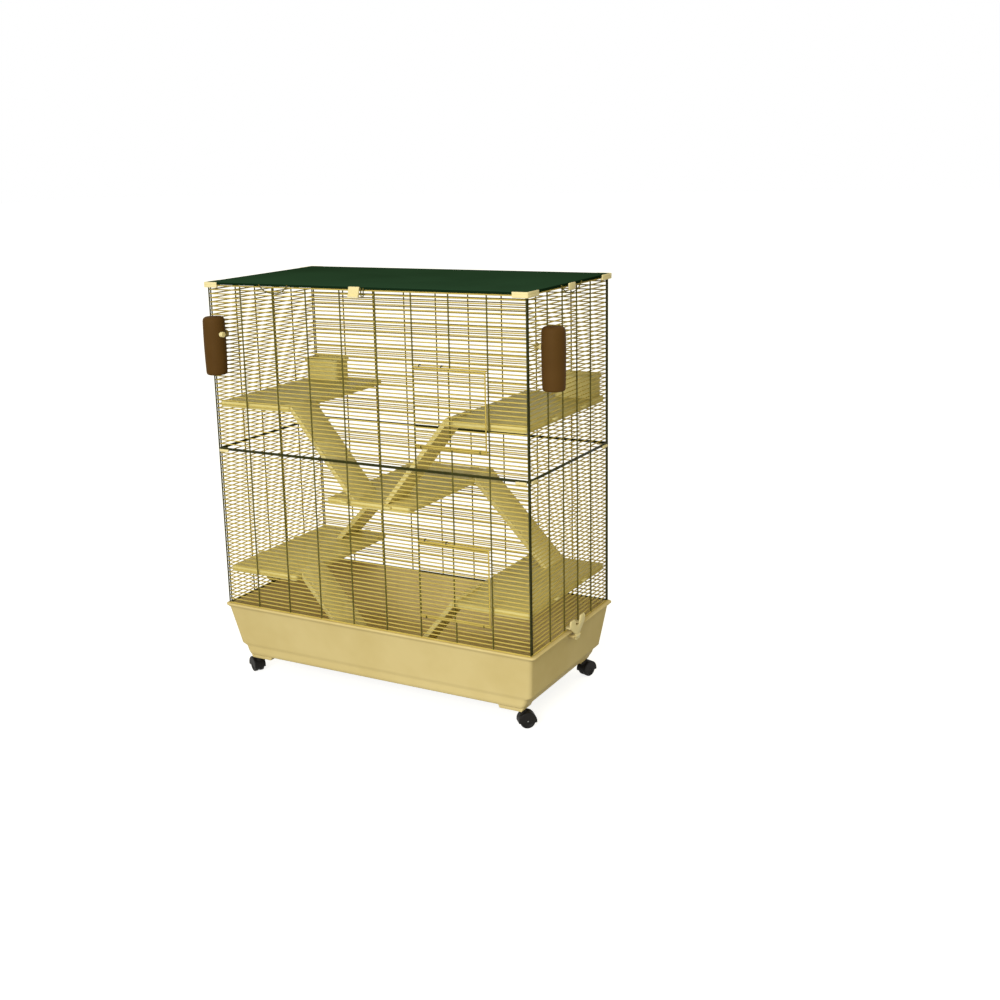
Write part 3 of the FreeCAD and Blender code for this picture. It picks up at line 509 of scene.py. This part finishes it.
def end_wall(label, storey, x):
    """Left or right panel of one storey."""
    node = label + ("_left_panel" if x < 0 else "_right_panel")
    inner = x - math.copysign(WIRE_IN, x)
    low, high = level(storey, 0), level(storey, storey["gaps"])
    frame_bm, stem_bm, wire_bm = bmesh.new(), bmesh.new(), bmesh.new()
    for z in (low, high):
        khaki = z == TOP_RAIL or (x > 0 and z == level(LOWER, 0))
        rails(wire_bm if khaki else frame_bm, [((x, -SIDE_END - ROD_R, z), (x, SIDE_END + ROD_R, z))])
    rails(frame_bm, [((x, y, low), (x, y, high)) for y in (-SIDE_END, SIDE_END)])
    stems = [SIDE_BAY * (i - 1.5) for i in range(4)]
    rails(stem_bm, [((x, y, low), (x, y, high)) for y in stems])
    for step in range(1, storey["gaps"]):
        z = level(storey, step)
        cross_wire(wire_bm, (inner, -SIDE_END, z), (inner, SIDE_END, z))
    panel_pieces(node, frame_bm, stem_bm, wire_bm)


for label, storey in (("lower", LOWER), ("upper", UPPER)):
    long_wall(label, storey, -HY, True)
    long_wall(label, storey, HY, False)
    end_wall(label, storey, -HX)
    end_wall(label, storey, HX)
print("panels done")

# %% [markdown]
# Each storey has a drop-down door. It is a small wire panel of its own: a frame whose bottom rail
# turns in wire loops on the door sill, cross wires on the outer side, and two bent snaps at the
# top that rest over the head wire. Its rails and its right bar have the khaki coat of the cross
# wires, and the other two bars the olive of the uprights. It rides on its own body, so it can swing.

# %% Doors
DOOR_GAP = 4.0
SNAP_IN, SNAP_RISE, SNAP_R = 18.0, 5.4, 1.1
for label, storey in (("lower", LOWER), ("upper", UPPER)):
    door = label + "_door"
    sill, head = level(storey, SILL), level(storey, HEAD)
    x0, x1 = DOOR_X[0] + DOOR_GAP, DOOR_X[1] - DOOR_GAP
    stem_bm, wire_bm, snap_bm = bmesh.new(), bmesh.new(), bmesh.new()
    rails(wire_bm, [((x0 - ROD_R, DOOR_Y, z), (x1 + ROD_R, DOOR_Y, z)) for z in (sill, head)])
    for target, x in ((stem_bm, x0), (stem_bm, DOOR_MIDDLE), (wire_bm, x1)):
        rails(target, [((x, DOOR_Y, sill), (x, DOOR_Y, head))])
    for step in range(math.ceil(SILL), math.ceil(HEAD)):
        z = level(storey, step)
        cross_wire(wire_bm, (x0, DOOR_Y - WIRE_IN, z), (x1, DOOR_Y - WIRE_IN, z))
    arm = head + SNAP_RISE
    for x in (DOOR_X[0] + SNAP_IN, DOOR_MIDDLE - SNAP_IN):
        tube(snap_bm, [(x, DOOR_Y, head + 0.6), (x, DOOR_Y, arm - 1.2), (x, DOOR_Y + 0.4, arm - 0.3),
                       (x, DOOR_Y + 1.4, arm), (x, -HY + 0.8, arm)], SNAP_R)
    piece(door + "_frame", wire_bm, cross_coat, door, [door])
    piece(door + "_bars", stem_bm, upright_coat, door)
    piece(door + "_snaps", snap_bm, rail_coat, door, [door + "_hooks"])
refinish("door_hinge_loops", rail_coat)
print("doors done")

# %% [markdown]
# Shelves are thin trays turned upside down: a flat top with a short lip all round. The lip is what
# makes a thin moulding stiff, and it is the pale line seen from the front. One loft goes over the
# top edge, down the lip and back up inside. Each row of it gives how far in it lies, its corner
# radius and how far under the top. Small tabs rest on the wires.

# %% Shelves
SHELF_X = HX - 5.4
SHELF_Y = HY - 6.4
SHELF_RISE = 6.2
SHELF_LIP = [(1.4, 5.6, 0.0), (0.4, 6.6, 0.4), (0.0, 7.0, 1.4), (0.0, 7.0, 12.4),
             (0.5, 6.5, 13.0), (2.5, 4.5, 13.0), (3.0, 4.0, 12.4), (3.0, 4.0, 3.0)]
UPPER_X, LOWER_X, MID_X = 200.0, 205.0, 107.5
TAB_HALF, TAB_THICK, TAB_ROOT, TAB_REACH = 8.0, 4.0, 3.0, 2.6
MID_TAB_X = BAY / 2 + 11.6


def shelf(node, x0, x1, wire_z, tabs):
    """A shelf from x0 to x1 whose tabs rest on the wires at wire_z."""
    bm = bmesh.new()
    centre = ((x0 + x1) / 2, 0.0)
    half_x, top = (x1 - x0) / 2, wire_z + SHELF_RISE
    rings = [rounded_ring(bm, centre, half_x - s, SHELF_Y - s, r, top - drop)
             for s, r, drop in SHELF_LIP]
    join_rings(bm, rings)
    low, high = wire_z + WIRE_R, wire_z + WIRE_R + TAB_THICK
    for direction, at in tabs:
        side = 1 if direction in ("right", "back") else -1
        width = (at - TAB_HALF, at + TAB_HALF)
        if direction in ("left", "right"):
            block(bm, side * (SHELF_X - TAB_ROOT), side * (HX + TAB_REACH), *width, low, high)
        else:
            block(bm, *width, side * (SHELF_Y - TAB_ROOT), side * (HY + TAB_REACH), low, high)
    piece(node + "_moulding", bm, shelf_pp, "cage", [node])


wire_low, wire_mid, wire_top = level(LOWER, 9), level(LOWER, 30), level(UPPER, 11)
left_tabs = [("left", -SIDE_BAY), ("left", SIDE_BAY), ("back", -3 * BAY)]
right_tabs = [("right", -SIDE_BAY), ("right", SIDE_BAY), ("back", 3 * BAY)]
mid_tabs = [(wall, x) for wall in ("back", "front") for x in (-MID_TAB_X, MID_TAB_X)]
shelf("upper_left_shelf", -SHELF_X, -UPPER_X, wire_top, left_tabs)
shelf("upper_right_shelf", UPPER_X, SHELF_X, wire_top, right_tabs)
shelf("lower_left_shelf", -SHELF_X, -LOWER_X, wire_low, left_tabs)
shelf("lower_right_shelf", LOWER_X, SHELF_X, wire_low, right_tabs)
shelf("middle_shelf", -MID_X, MID_X, wire_mid, mid_tabs)
top_low, top_mid, top_top = (z + SHELF_RISE for z in (wire_low, wire_mid, wire_top))
print("shelves at", [round(z, 1) for z in (top_low, top_mid, top_top)])

# %% [markdown]
# A ramp is a moulded channel: a tread with side walls that stiffen it, a hook over the shelf edge
# and low cleats for grip. Its outline is drawn from the side and drawn out across the width.

# %% Ramps
RAMP_WIDTH, RAMP_WALL = 90.0, 3.0
HOOK_LONG, HOOK_THICK, HOOK_GAP = 14.0, 3.0, 0.2
TREAD_DEPTH, WALL_DEPTH = 13.0, 16.0
RAMP_PARTS, CLEAT_HALF, CLEAT_IN = 8, 3.0, 8.0
RAMPS = [("upper", UPPER_X, top_top, 36.0, top_mid, -HY + 13.0),
         ("middle", MID_X, top_mid, 295.0, top_low, HY - 100.0),
         ("lower", LOWER_X, top_low, 20.0, FLOOR_Z, -HY + 28.0)]


def ramp(node, start_x, top, foot_x, ground, y0):
    """A ramp from the shelf edge at start_x down to foot_x, with its front side at y0."""
    bm = bmesh.new()
    side = math.copysign(1.0, foot_x - start_x)
    y1 = y0 + RAMP_WIDTH
    first, head = start_x + side * HOOK_GAP, top + HOOK_THICK
    slope = (head - ground) / abs(foot_x - first)
    rise = CLEAT_HALF * slope
    hook_x = start_x - side * HOOK_LONG

    def sloped(depth):
        """The side view of a plate that lies along the slope."""
        return [(first, head), (foot_x, ground), (foot_x - side * depth / slope, ground),
                (first, head - depth)]

    prism(bm, sloped(TREAD_DEPTH), "Y", y0 + 1.0, y1 - 1.0, 0.5)
    prism(bm, [(hook_x, top), (hook_x, head), (first, head), (first, top)], "Y", y0, y1, 0.7)
    for edge in (y0, y1 - RAMP_WALL):
        prism(bm, sloped(WALL_DEPTH), "Y", edge, edge + RAMP_WALL, 0.7)
    for i in range(1, RAMP_PARTS):
        x = first + (foot_x - first) * i / RAMP_PARTS
        z = head + (ground - head) * i / RAMP_PARTS
        cleat = [(x - side * CLEAT_HALF, z + rise - 0.5), (x - side * 1.6, z + rise + 0.2),
                 (x + side * 3.6, z - rise + 0.6), (x + side * CLEAT_HALF, z - rise - 0.5)]
        prism(bm, cleat, "Y", y0 + CLEAT_IN, y1 - CLEAT_IN, 0.3)
    piece(node + "_moulding", bm, painted_light_ramp_pp, "cage", [node])


for label, side in (("left", -1), ("right", 1)):
    for place, start_x, top, foot_x, ground, y0 in RAMPS:
        ramp(place + "_" + label + "_ramp", side * start_x, top, side * foot_x, ground, y0)
print("ramps done")

# %% [markdown]
# Open feed boxes stand in the back corners of the upper shelves. Each is a thin-walled box with a
# flange round its mouth, so one loft goes up the outside, round the flange and down to the floor.
# The flange is cut short at the back, where the box stands against the wires.

# %% Feed boxes
FEED_X, FEED_Y = 45.0, 28.5
FEED_AT_X, FEED_AT_Y = SHELF_X - 52.0, SHELF_Y - 29.5
FEED_WALLS = [(3.0, 5.0, 0.0), (0.6, 7.4, 0.4), (0.0, 8.0, 1.6), (0.0, 8.0, 43.4)]
FEED_FLANGE = [(3.4, 2.2, 8.0, 44.0), (4.0, 2.5, 8.0, 44.8),
               (4.0, 2.5, 8.0, 49.2), (3.4, 2.2, 8.0, 50.0)]
FLANGE_FORWARD = 1.5
FEED_INSIDE = [(1.8, 6.2, 50.0), (2.5, 5.5, 49.2), (2.5, 5.5, 4.0), (4.5, 4.5, 2.5)]


def feed_rings(bm, x, rows):
    """Rings of a feed box at x; each row gives how far in, a corner radius and a height."""
    return [rounded_ring(bm, (x, FEED_AT_Y), FEED_X - s, FEED_Y - s, r, top_top + z)
            for s, r, z in rows]


for label, side in (("left", -1), ("right", 1)):
    node = "feed_box_" + label
    bm = bmesh.new()
    x, flange_y = side * FEED_AT_X, FEED_AT_Y - FLANGE_FORWARD
    rings = feed_rings(bm, x, FEED_WALLS)
    rings += [rounded_ring(bm, (x, flange_y), FEED_X + out_x, FEED_Y + out_y, r, top_top + z)
              for out_x, out_y, r, z in FEED_FLANGE]
    rings += feed_rings(bm, x, FEED_INSIDE)
    join_rings(bm, rings)
    piece(node + "_moulding", bm, shelf_pp, "cage", [node])
print("feed boxes done")

# %% [markdown]
# The corner caps, the clips between the storeys and the roof tabs are small mouldings in a paler
# cream. They are L shapes and blocks whose edges are softened, because a moulded edge always has
# a small radius that catches the light. The storey clips grip the wires on both sides of a post
# and leave the post itself bare.

# %% Caps, clips and tabs
CAP_X, CAP_Y, CAP_OUT = 36.0, 50.0, 7.6
SEAM = RIM_Z + 377.6
CLIP_LOW, CLIP_HIGH = SEAM - 6.5, SEAM - 0.4
CLIP_NEAR, CLIP_FAR = 1.2, 5.0
FRONT_ARM, END_ARM = (HX - 28.0, HX - 3.0), (HY - 32.0, HY - 9.0)


def corner_outline(sx, sy, inner):
    """An L round one corner, seen from above, with a rounded nose."""
    ox, oy = sx * (HX + CAP_OUT), sy * (HY + CAP_OUT)
    ix, iy = sx * (HX + inner), sy * (HY + inner)
    end_x, end_y = ox - sx * CAP_X, oy - sy * CAP_Y
    nose = [(ox - sx * 2.6, oy), (ox - sx * 0.8, oy - sy * 0.8), (ox, oy - sy * 2.6)]
    return [(end_x, oy)] + nose + [(ox, end_y), (ix, end_y), (ix, iy), (end_x, iy)]


clip_bm, cap_bm = bmesh.new(), bmesh.new()
for sx, sy in ((-1, -1), (1, -1), (-1, 1), (1, 1)):
    front_x = (sx * FRONT_ARM[0], sx * FRONT_ARM[1])
    front_y = (sy * (HY + CLIP_NEAR), sy * (HY + CLIP_FAR))
    block(clip_bm, *front_x, *front_y, CLIP_LOW, CLIP_HIGH)
    end_x = (sx * (HX + CLIP_NEAR), sx * (HX + CLIP_FAR))
    end_y = (sy * END_ARM[0], sy * END_ARM[1])
    block(clip_bm, *end_x, *end_y, CLIP_LOW, CLIP_HIGH)
    prism(cap_bm, corner_outline(sx, sy, 1.6), "Z", TOP_RAIL - 4.0, TOP_RAIL + 2.2)
    prism(cap_bm, corner_outline(sx, sy, 4.4), "Z", TOP_RAIL + 1.6, ROOF_Z)
piece("storey_corner_clips", clip_bm, clip_pp, "cage", ["mid_corner_clips"])
piece("roof_corner_mouldings", cap_bm, clip_pp, "cage", ["roof_corner_caps"])

front_bm, side_bm = bmesh.new(), bmesh.new()
tab_low = TOP_RAIL - 15.0
tab_outline = [(-17.5, tab_low), (9.0, tab_low), (12.6, ROOF_Z), (-15.0, ROOF_Z)]
prism(front_bm, tab_outline, "Y", -HY - 8.0, -HY - 4.0, 1.2)
block(front_bm, -17.0, 9.5, -HY - 9.6, -HY - 7.4, tab_low, tab_low + 6.0, 0.7)
for side in (-1, 1):
    block(side_bm, side * (HX + 4.0), side * (HX + 8.0), -15, 15, TOP_RAIL - 8.0, ROOF_Z - 1.0, 1.2)
piece("roof_front_tab", front_bm, clip_pp, "roof", ["roof_front_clip"])
piece("roof_side_tabs", side_bm, clip_pp, "roof", ["roof_side_clips"])
refinish("roof_hinge_clips", clip_pp)
print("caps and tabs done")

# %% [markdown]
# The roof is a shallow pan: one sheet pressed down at its edges, so that it stays flat without
# ribs. The sheet and its folded edge are drawn apart because the edge has a darker enamel that is
# painted shade, and both ride on the roof's own body, which turns up about the back rail. The sheet
# is notched at its back corners, where it would sweep through the caps, and two small plates stay
# there on the cage.

# %% Roof sheet
EDGE_X, EDGE_Y, FOLD = HX + 4.0, HY + 4.0, 2.2
NOTCH_X, NOTCH_Y, NOTCH_GAP = HX - 29.0, HY - 10.0, 0.4
sheet_x, sheet_y, sheet_low = EDGE_X - 1.0, EDGE_Y - 1.0, ROOF_Z - 2.4
fold_low, fold_high = ROOF_Z - 5.6, ROOF_Z - 0.6
outline = [(-sheet_x, -sheet_y), (sheet_x, -sheet_y), (sheet_x, NOTCH_Y), (NOTCH_X, NOTCH_Y),
           (NOTCH_X, sheet_y), (-NOTCH_X, sheet_y), (-NOTCH_X, NOTCH_Y), (-sheet_x, NOTCH_Y)]
sheet_bm, edge_bm, plate_bm = bmesh.new(), bmesh.new(), bmesh.new()
prism(sheet_bm, outline, "Z", sheet_low, ROOF_Z, 0.4)
block(edge_bm, -EDGE_X, EDGE_X, -EDGE_Y, -EDGE_Y + FOLD, fold_low, fold_high, 0.5)
block(edge_bm, -NOTCH_X, NOTCH_X, EDGE_Y - FOLD, EDGE_Y, fold_low + 1.0, fold_high, 0.5)
for side in (-1, 1):
    block(edge_bm, side * (EDGE_X - FOLD), side * EDGE_X, -EDGE_Y, NOTCH_Y, fold_low, fold_high, 0.5)
    block(plate_bm, side * (NOTCH_X + NOTCH_GAP), side * EDGE_X, NOTCH_Y + NOTCH_GAP, EDGE_Y,
          sheet_low, ROOF_Z, 0.4)
piece("roof_sheet", sheet_bm, roof_enamel, "roof", ["roof_panel"])
# The folded edge carries the darker enamel, which is painted shade.
piece("roof_folded_edge", edge_bm, painted_shade_edge_enamel, "roof")
piece("roof_back_corner_plates", plate_bm, roof_enamel, "cage")
print("roof done")

# %% [markdown]
# Wire bails hang from the sides and the front of the roof as shallow arcs, with a narrow loop
# beside the front tab. Each is bent from one wire, so a tube along a curve is the natural way.
# The curve is steep at its ends and flat in the middle, like a bend round a former.

# %% Roof bails
BAIL_R, BAIL_STEPS, BAIL_OUT = 1.3, 16, 5.3
BAIL_TOP = ROOF_Z - 2.0


def bail(bm, ends, across, low, bend=3):
    """A hanging loop of wire; across maps a run along the wall and a height to a point."""
    path = []
    for i in range(BAIL_STEPS + 1):
        way = 2.0 * i / BAIL_STEPS - 1.0
        run = (ends[0] + ends[1]) / 2 + way * (ends[1] - ends[0]) / 2
        path.append(across(run, low + (BAIL_TOP - low) * abs(way) ** bend))
    tube(bm, path, BAIL_R)


bm = bmesh.new()
for side in (-1, 1):
    bail(bm, (-50.0, 50.0), lambda run, z, x=side * (HX + BAIL_OUT): (x, run, z), TOP_RAIL - 13.0)
for ends, low, bend in (((14.6, 21.4), tab_low + 2.0, 9), ((-254.0, -176.0), TOP_RAIL - 12.0, 3)):
    bail(bm, ends, lambda run, z: (run, -HY - BAIL_OUT, z), low, bend)
piece("roof_bails", bm, upright_coat, "roof", ["roof_wire_bails"])
print("bails done")

# %% [markdown]
# The brown canisters hang outside the walls, one at the left end of the front and one on the right
# end. They are round, a little fuller in the middle, with rounded edges, and are blown in one
# piece, so they show no seam. A lathe turns their profile. Their cream pegs and knobs stay solids.

# %% Canisters
CAN_OUT, CAN_DROP, CAN_SIDES = 32.606, 88.0, 64
CAN_AT = {"left": (-HX + 0.4 * BAY, -HY - CAN_OUT), "right": (HX + CAN_OUT, -146.0)}
peg_z = level(UPPER, 28.5)
profile = [(4.0, 0.0), (16.0, 0.0), (19.4, 0.4), (21.8, 1.6), (23.2, 3.8), (23.6, 7.0), (24.4, 30.0)]
profile += [(25.0, 62.0), (25.0, 92.0), (24.6, 118.0), (24.4, 122.0), (23.6, 125.6), (21.6, 128.6)]
profile += [(18.4, 130.4), (14.0, 131.0), (4.0, 131.0)]
for label, (x, y) in CAN_AT.items():
    bm = bmesh.new()
    lathe(bm, profile, Matrix.Translation((x, y, peg_z - CAN_DROP)), CAN_SIDES)
    piece("canister_" + label + "_body", bm, can_pp, "cage", ["canister_" + label])
refinish("canister_hangers", clip_pp)
refinish("canister_knobs", clip_pp)
print("canisters done")

# %% [markdown]
# Forked clips on both ends of the tray hook over the bottom rail and hold the cage down. The fork
# is drawn as half an outline and mirrored. Each turns on a pin between two lugs of the tray.

# %% Tray clips
FORK_HALF = 2.0
HOOK_Y, HOOK_WIDE, HOOK_GAP_Z = (-27.0, 17.0), 10.0, 1.2
BOSS = [(1.3, 0.0), (2.8, 0.0), (3.2, 0.4), (3.2, 20.0), (2.8, 20.4), (1.3, 20.4)]
BOSS_START, BOSS_SIDES = -10.2, 24
ALONG_Y = Matrix.Rotation(math.radians(-90.0), 4, "X")
fork_top = RIM_Z + 26.0
wing = SIDE_BAY / 2 + 2.0
half = [(9.0, CLIP_Z - 8.0), (10.2, CLIP_Z), (10.2, CLIP_Z + 5.0), (wing - 2.0, fork_top - 17.0),
        (wing, fork_top - 6.0), (wing - 4.0, fork_top), (wing - 21.0, fork_top), (8.0, fork_top - 18.0)]
fork = half + [(-y, h) for y, h in reversed(half)]
hook_low = level(LOWER, 0) + ROD_R + HOOK_GAP_Z
hook_high = level(LOWER, 1) - WIRE_R - HOOK_GAP_Z
for label, side in (("left", -1), ("right", 1)):
    node = "tray_clip_" + label
    x = side * CLIP_X
    bm = bmesh.new()
    prism(bm, fork, "X", x - FORK_HALF, x + FORK_HALF, 0.9)
    for y in HOOK_Y:
        block(bm, side * (HX - 2.0), x, y, y + HOOK_WIDE, hook_low, hook_high, 0.6)
    lathe(bm, BOSS, Matrix.Translation((x, BOSS_START, CLIP_Z)) @ ALONG_Y, BOSS_SIDES)
    piece(node + "_fork", bm, clip_pp, node, [node])
refinish("tray_clip_pins", plated_steel)
print("tray clips done")

# %% [markdown]
# Each caster has a hood that swivels on a stem, and two wheels on one axle. The solid hood already
# has the right shape and only needs its finish. The wheels are turned on a lathe with a dished
# face and a rounded tread, then laid on the axle line, which trails behind the stem.

# %% Casters
TRAIL, AXLE_Z, WHEEL_R, BORE_R = 9.0, 17.0, 17.0, 2.05
WHEEL_START, WHEEL_END, WHEEL_SIDES = 2.0, 11.4, 48
for name, (sx, sy, angle) in CASTERS.items():
    heading = math.radians(angle)
    axle_x = sx * CASTER_X + TRAIL * math.cos(heading)
    axle_y = sy * CASTER_Y + TRAIL * math.sin(heading)
    lay = Matrix.Rotation(heading, 4, "Z") @ ALONG_Y
    lay.translation = (axle_x, axle_y, AXLE_Z)
    for label, way in (("inner", -1.0), ("outer", 1.0)):
        start, end = way * WHEEL_START, way * WHEEL_END
        profile = [(BORE_R, start), (15.4, start), (16.5, start + way * 0.5), (WHEEL_R, start + way * 1.6),
                   (WHEEL_R, end - way * 1.8), (16.5, end - way * 0.6), (15.2, end), (13.6, end),
                   (12.8, end - way * 0.7), (11.6, end - way * 1.6), (6.4, end - way * 2.0),
                   (5.6, end - way * 1.2), (4.8, end - way * 0.5), (BORE_R, end - way * 0.4)]
        wheel = label + "_wheel_" + name
        bm = bmesh.new()
        lathe(bm, profile, lay, WHEEL_SIDES)
        piece("caster_" + label + "_tyre_" + name, bm, caster_pa, wheel,
              ["caster_" + wheel])
    refinish("caster_hood_" + name, caster_pa)
    refinish("caster_axle_" + name, plated_steel)
refinish("caster_stems", plated_steel)
print("casters done")

# %% [markdown]
# A plain white studio: a wide floor, an even dome of light that is a little warm, and one large
# soft lamp in front, which leaves the right side of the tray in shade as in the photograph. The
# floor and the dome look white to the camera, and in anything that mirrors them, but light the cage
# less than white paper would, so that shade stays deep enough and the floor still shows the shadow.

# %% Studio
WHITE, WARM = (1.0, 1.0, 1.0, 1.0), (1.0, 0.94, 0.68, 1.0)
FLOOR_HALF, FLOOR_DROP = 30.0, 0.0005
KEY_AZIMUTH, KEY_HEIGHT, KEY_AWAY = math.radians(11.0), math.radians(18.0), 4.2


def backdrop_seen(tree):
    """One for a ray from the camera, a mirrored one or one through a clear thing, else nought."""
    path = add_node(tree, "ShaderNodeLightPath").outputs
    either = add_node(tree, "ShaderNodeMath", {0: path["Is Camera Ray"], 1: path["Is Glossy Ray"]},
                      operation="MAXIMUM")
    any_of = add_node(tree, "ShaderNodeMath", {0: either.outputs[0], 1: path["Is Transmission Ray"]},
                      operation="MAXIMUM")
    return any_of.outputs[0]


floor_paper, tree, where = new_finish("studio_paper_white")
fibre = add_node(tree, "ShaderNodeTexNoise", {"Vector": where, "Scale": per_mm(400.0), "Detail": 2.0})
tone = add_node(tree, "ShaderNodeMapRange",
                {"Value": fibre.outputs["Fac"], "To Min": 0.30, "To Max": 0.34})
dim = add_node(tree, "ShaderNodeBsdfDiffuse", {"Color": tone.outputs["Result"]})
pale = add_node(tree, "ShaderNodeBsdfDiffuse", {"Color": linear("#B4B4B4")})
glow = add_node(tree, "ShaderNodeEmission", {"Color": WHITE, "Strength": 0.82})
paper = add_node(tree, "ShaderNodeAddShader", {0: pale.outputs["BSDF"], 1: glow.outputs["Emission"]})
mix = add_node(tree, "ShaderNodeMixShader",
               {0: backdrop_seen(tree), 1: dim.outputs["BSDF"], 2: paper.outputs["Shader"]})
add_node(tree, "ShaderNodeOutputMaterial", {"Surface": mix.outputs["Shader"]})
bm = bmesh.new()
corners = [bm.verts.new((sx * FLOOR_HALF, sy * FLOOR_HALF, 0.0))
           for sx, sy in ((-1, -1), (1, -1), (1, 1), (-1, 1))]
bm.faces.new(corners)
mesh = bpy.data.meshes.new("studio_floor")
bm.to_mesh(mesh)
bm.free()
mesh.materials.append(floor_paper)
floor = bpy.data.objects.new("studio_floor", mesh)
floor.location.z = -FLOOR_DROP
bpy.context.scene.collection.objects.link(floor)

world = bpy.data.worlds.new("studio_dome")
bpy.context.scene.world = world
world.use_nodes = True
tree = world.node_tree
tree.nodes.clear()
light = add_node(tree, "ShaderNodeBackground", {"Color": WARM, "Strength": 0.74})
white = add_node(tree, "ShaderNodeBackground", {"Color": WHITE, "Strength": 1.0})
dome = add_node(tree, "ShaderNodeMixShader",
                {0: backdrop_seen(tree), 1: light.outputs["Background"], 2: white.outputs["Background"]})
add_node(tree, "ShaderNodeOutputWorld", {"Surface": dome.outputs["Shader"]})

lamp = bpy.data.lights.new("key_softbox", "AREA")
lamp.shape = "SQUARE"
lamp.size = 1.7
lamp.energy = 122.0
key = bpy.data.objects.new("key_softbox", lamp)
aim = Vector((0.0, 0.0, 0.5))
level_run = math.cos(KEY_HEIGHT)
toward = Vector((math.sin(KEY_AZIMUTH) * level_run, -math.cos(KEY_AZIMUTH) * level_run,
                 math.sin(KEY_HEIGHT)))
key.location = aim + toward * KEY_AWAY
key.rotation_euler = toward.to_track_quat("Z", "Y").to_euler()
bpy.context.scene.collection.objects.link(key)
bpy.context.scene.view_settings.view_transform = "Standard"
print("studio ready")
